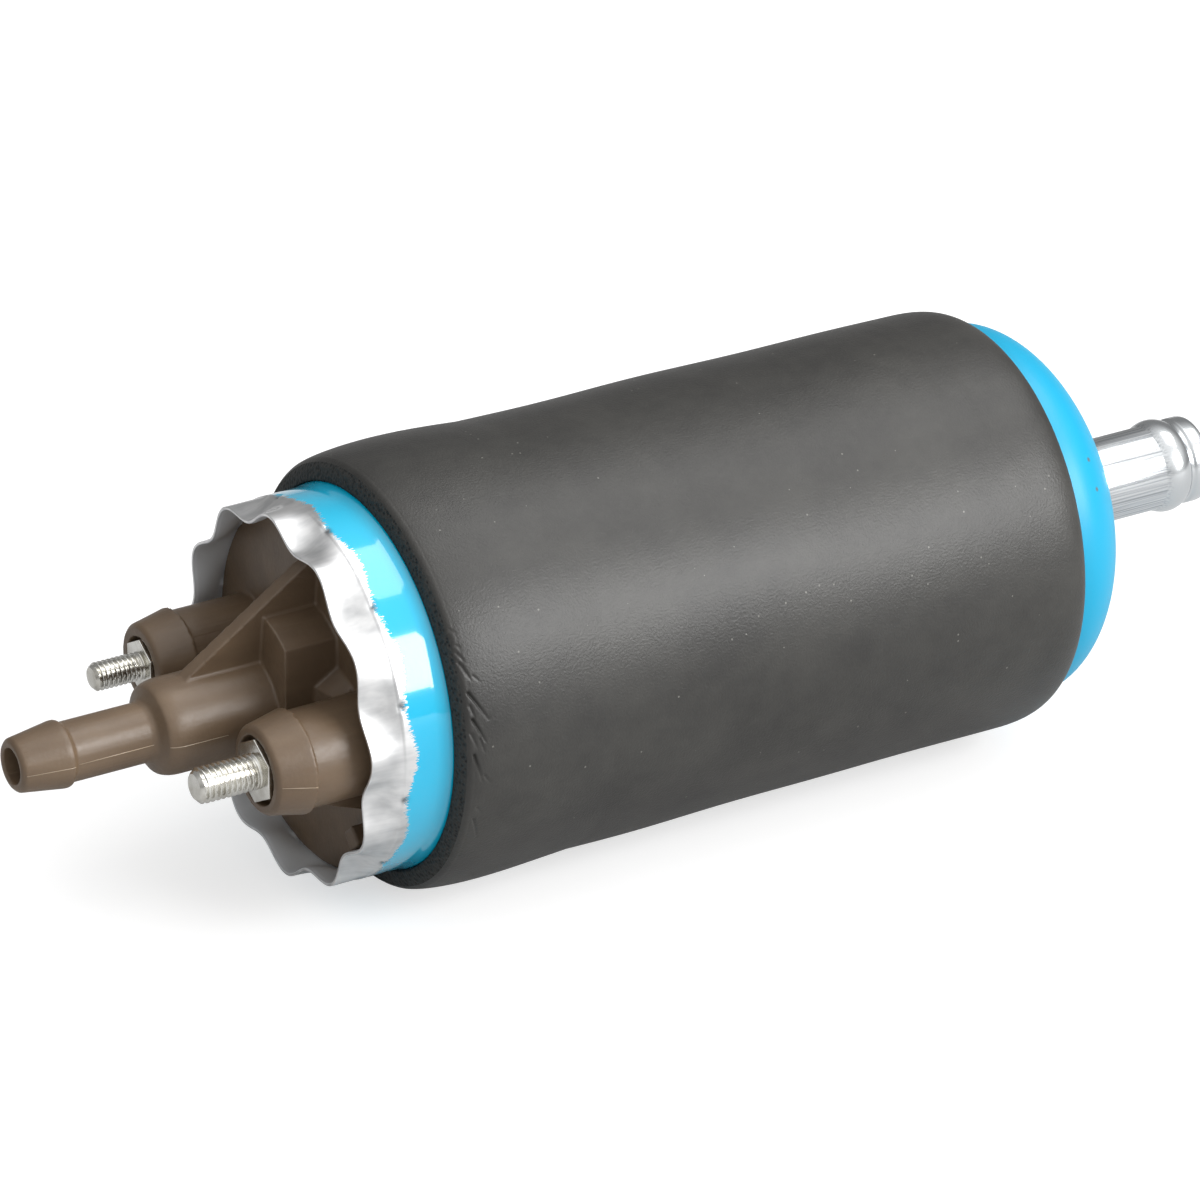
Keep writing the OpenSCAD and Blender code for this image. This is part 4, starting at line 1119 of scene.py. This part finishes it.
turned_aluminium = make_turned_aluminium()
print("spigot finish", turned_aluminium.name)

# %% Make the spigot
def spigot_outline():
    """From the collar inside the can along shank, bead, groove and lip, and back by the bore."""
    collar_rear = spigot_low[0]
    neck = bead_middle + bead_half
    collar_front = collar_rear + collar_t
    corners = [(collar_rear, bore_r, 0.2), (collar_rear, collar_r, 0.2), (collar_front, collar_r, 0.2),
               (collar_front, spigot_r - 0.05, 0.1), (pole - 1.0, spigot_r - 0.05), (pole + 0.2, spigot_r)]
    corners += [(bead_middle - bead_half * math.cos(a), spigot_r + bead_height * math.sin(a) ** 2)
                for a in np.linspace(0.0, math.pi, 19)]
    corners += [(neck + 0.1, groove_r, 0.1), (neck + 0.55, groove_r, 0.15), (neck + 0.9, lip_r, 0.2),
                (spigot_end, lip_r, 1.1), (spigot_end, bore_r + 0.35, 0.2), (spigot_end - 0.6, bore_r, 0.2)]
    return rounded(corners, 6)


spigot = finished("turned_spigot", turned_mesh("turned_spigot", spigot_outline(), 160), turned_aluminium)
place_piece(spigot, "turned_aluminium", "inlet_spigot")

# %% [markdown]
# ## Parts inside
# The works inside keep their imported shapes. Each gets the finish that its real material has:
# ground steel, sintered ferrite and bronze, drawn copper, pressed carbon, moulded nylon and
# rubber. One recipe serves them, a base tone with a grain of the right size and a light bump.

# %% Finishes for the carried parts
# slot: (name, light tone, dark tone, roughness, metallic, grains per metre, bump depth in mm)
INSIDE = {
    "moulded_head": ("nylon_moulded_brown", "#6a5845", "#5d4c3b", 0.42, 0.0, 900, 0.05),
    "zinc_steel": ("steel_zinc_plated_small_parts", "#dedbd0", "#bdb9ac", 0.26, 1.0, 700, 0.03),
    "turned_aluminium": ("aluminium_turned", "#dcdfe1", "#bfc3c6", 0.28, 1.0, 900, 0.03),
    "coated_can": ("aluminium_lacquered", "#00a6dd", "#0099d3", 0.2, 0.0, 60, 0.01),
    "foam": ("foam_rubber", "#363532", "#272624", 0.6, 0.0, 1500, 0.1),
    "rubber": ("rubber_moulded", "#242426", "#19191b", 0.55, 0.0, 700, 0.05),
    "dark_steel": ("steel_ground", "#7d8286", "#63686c", 0.34, 1.0, 1400, 0.03),
    "ferrite": ("ferrite_sintered", "#414144", "#2d2d30", 0.72, 0.0, 1800, 0.08),
    "copper": ("copper_drawn_enamelled", "#c27a38", "#a2602a", 0.33, 1.0, 600, 0.04),
    "bronze": ("bronze_sintered", "#b48b56", "#8f6d42", 0.5, 1.0, 1600, 0.06),
    "carbon": ("carbon_pressed", "#343436", "#232325", 0.55, 0.0, 1500, 0.06),
    "nylon": ("nylon_moulded_natural", "#ded8c8", "#cdc6b4", 0.42, 0.0, 500, 0.03),
}
slot_of = {part["node"]: part["material_slot"] for part in frame["record"]["subparts"]}


def make_inside(name, light, dark, roughness, metallic, grains, depth):
    # a base tone that clouds a little, and a light bump that breaks the highlight
    material, tree, shader, position = new_material(name, light, roughness, metallic)
    grain = add(tree, "ShaderNodeTexNoise", {
        "Vector": position, "Scale": float(grains), "Detail": 3.0}).outputs["Fac"]
    tone = add(tree, "ShaderNodeValToRGB", {"Fac": grain}, stops=[(0.35, dark), (0.65, light)])
    tree.links.new(tone.outputs["Color"], shader.inputs["Base Color"])
    bump = add(tree, "ShaderNodeBump", {"Height": grain, "Strength": 0.6, "Distance": depth * MM})
    tree.links.new(bump.outputs["Normal"], shader.inputs["Normal"])
    return material


finishes = {slot: make_inside(*values) for slot, values in INSIDE.items()}
for node_name, node_object in frame["nodes"].items():
    node_object.data.materials.clear()
    node_object.data.materials.append(finishes[slot_of[node_name]])
print("finishes", len(finishes))

# %% [markdown]
# ## Light and floor
# A white table in a tent of pale cloth. The cloth is brightest overhead and darker towards the
# horizon, which gives round metal and plastic their soft gradients; even white would leave
# them flat. A softbox above on the right and a smaller one in front draw their outlines in
# the blue lacquer. The camera itself sees pure white behind the pump. The floor adds a little
# white for the camera only, so that it reads as paper and keeps the pump's soft shadow.

# %% Tent of pale cloth
TENT_TOP = (0.05, -0.46, 0.89)
tent_low = 0.28
tent_high = 1.15


def make_world():
    world = bpy.data.worlds.new("tent")
    scene.world = world
    world.use_nodes = True
    tree = world.node_tree
    # the cloth, as light and reflections meet it
    lit = tree.nodes["Background"]
    lit.inputs["Color"].default_value = linear("#ffffff")
    direction = add(tree, "ShaderNodeTexCoord").outputs["Generated"]
    towards = add(tree, "ShaderNodeVectorMath", {0: direction, 1: TENT_TOP}, operation="DOT_PRODUCT")
    cloth = add(tree, "ShaderNodeMapRange", {
        "Value": towards.outputs["Value"], "From Min": 0.1, "From Max": 0.95,
        "To Min": tent_low, "To Max": tent_high}, interpolation_type="SMOOTHSTEP")
    tree.links.new(cloth.outputs["Result"], lit.inputs["Strength"])
    # plain white, as the camera meets it
    seen = add(tree, "ShaderNodeBackground", {"Color": linear("#ffffff"), "Strength": 1.0})
    path = add(tree, "ShaderNodeLightPath").outputs
    mix = add(tree, "ShaderNodeMixShader", {0: path["Is Camera Ray"], 1: lit, 2: seen})
    tree.links.new(mix.outputs[0], tree.nodes["World Output"].inputs["Surface"])


make_world()
print("tent from", tent_low, "at the horizon to", tent_high, "overhead")

# %% Softboxes and floor
floor_gap = 0.2
floor_half = 3.0
paper_glow = 0.6


def add_softbox(name, place, side, power):
    """A square lamp of `side` metres at `place` that looks at the pump."""
    data = bpy.data.lights.new(name, "AREA")
    data.shape = "RECTANGLE"
    data.size = side
    data.size_y = side
    data.energy = power
    lamp = bpy.data.objects.new(name, data)
    scene.collection.objects.link(lamp)
    lamp.location = place
    lamp.rotation_euler = (-Vector(place)).to_track_quat("-Z", "Y").to_euler()


def make_floor():
    """Matt paper just under the sleeve, lifted to white for the camera but not for the light."""
    z = (foam_low[2] - floor_gap) * MM
    corners = [(x * floor_half, y * floor_half, z) for x, y in ((-1, -1), (1, -1), (1, 1), (-1, 1))]
    mesh = bpy.data.meshes.new("floor")
    mesh.from_pydata(corners, [], [(0, 1, 2, 3)])
    # flat white without any shine, so that nothing but the shadow draws the eye
    material, tree, shader, position = new_material("paper_white", "#bfbfbf", 0.9)
    path = add(tree, "ShaderNodeLightPath").outputs
    glow = add(tree, "ShaderNodeMath", {0: path["Is Camera Ray"], 1: paper_glow}, operation="MULTIPLY")
    shader.inputs["Emission Color"].default_value = linear("#ffffff")
    tree.links.new(glow.outputs[0], shader.inputs["Emission Strength"])
    floor = bpy.data.objects.new("floor", mesh)
    scene.collection.objects.link(floor)
    mesh.materials.append(material)


add_softbox("softbox_top", (0.388, -0.045, 0.81), 0.53, 2.6)
add_softbox("softbox_front", (0.387, -0.702, 0.405), 0.465, 7.4)
make_floor()
scene.view_settings.view_transform = "Standard"
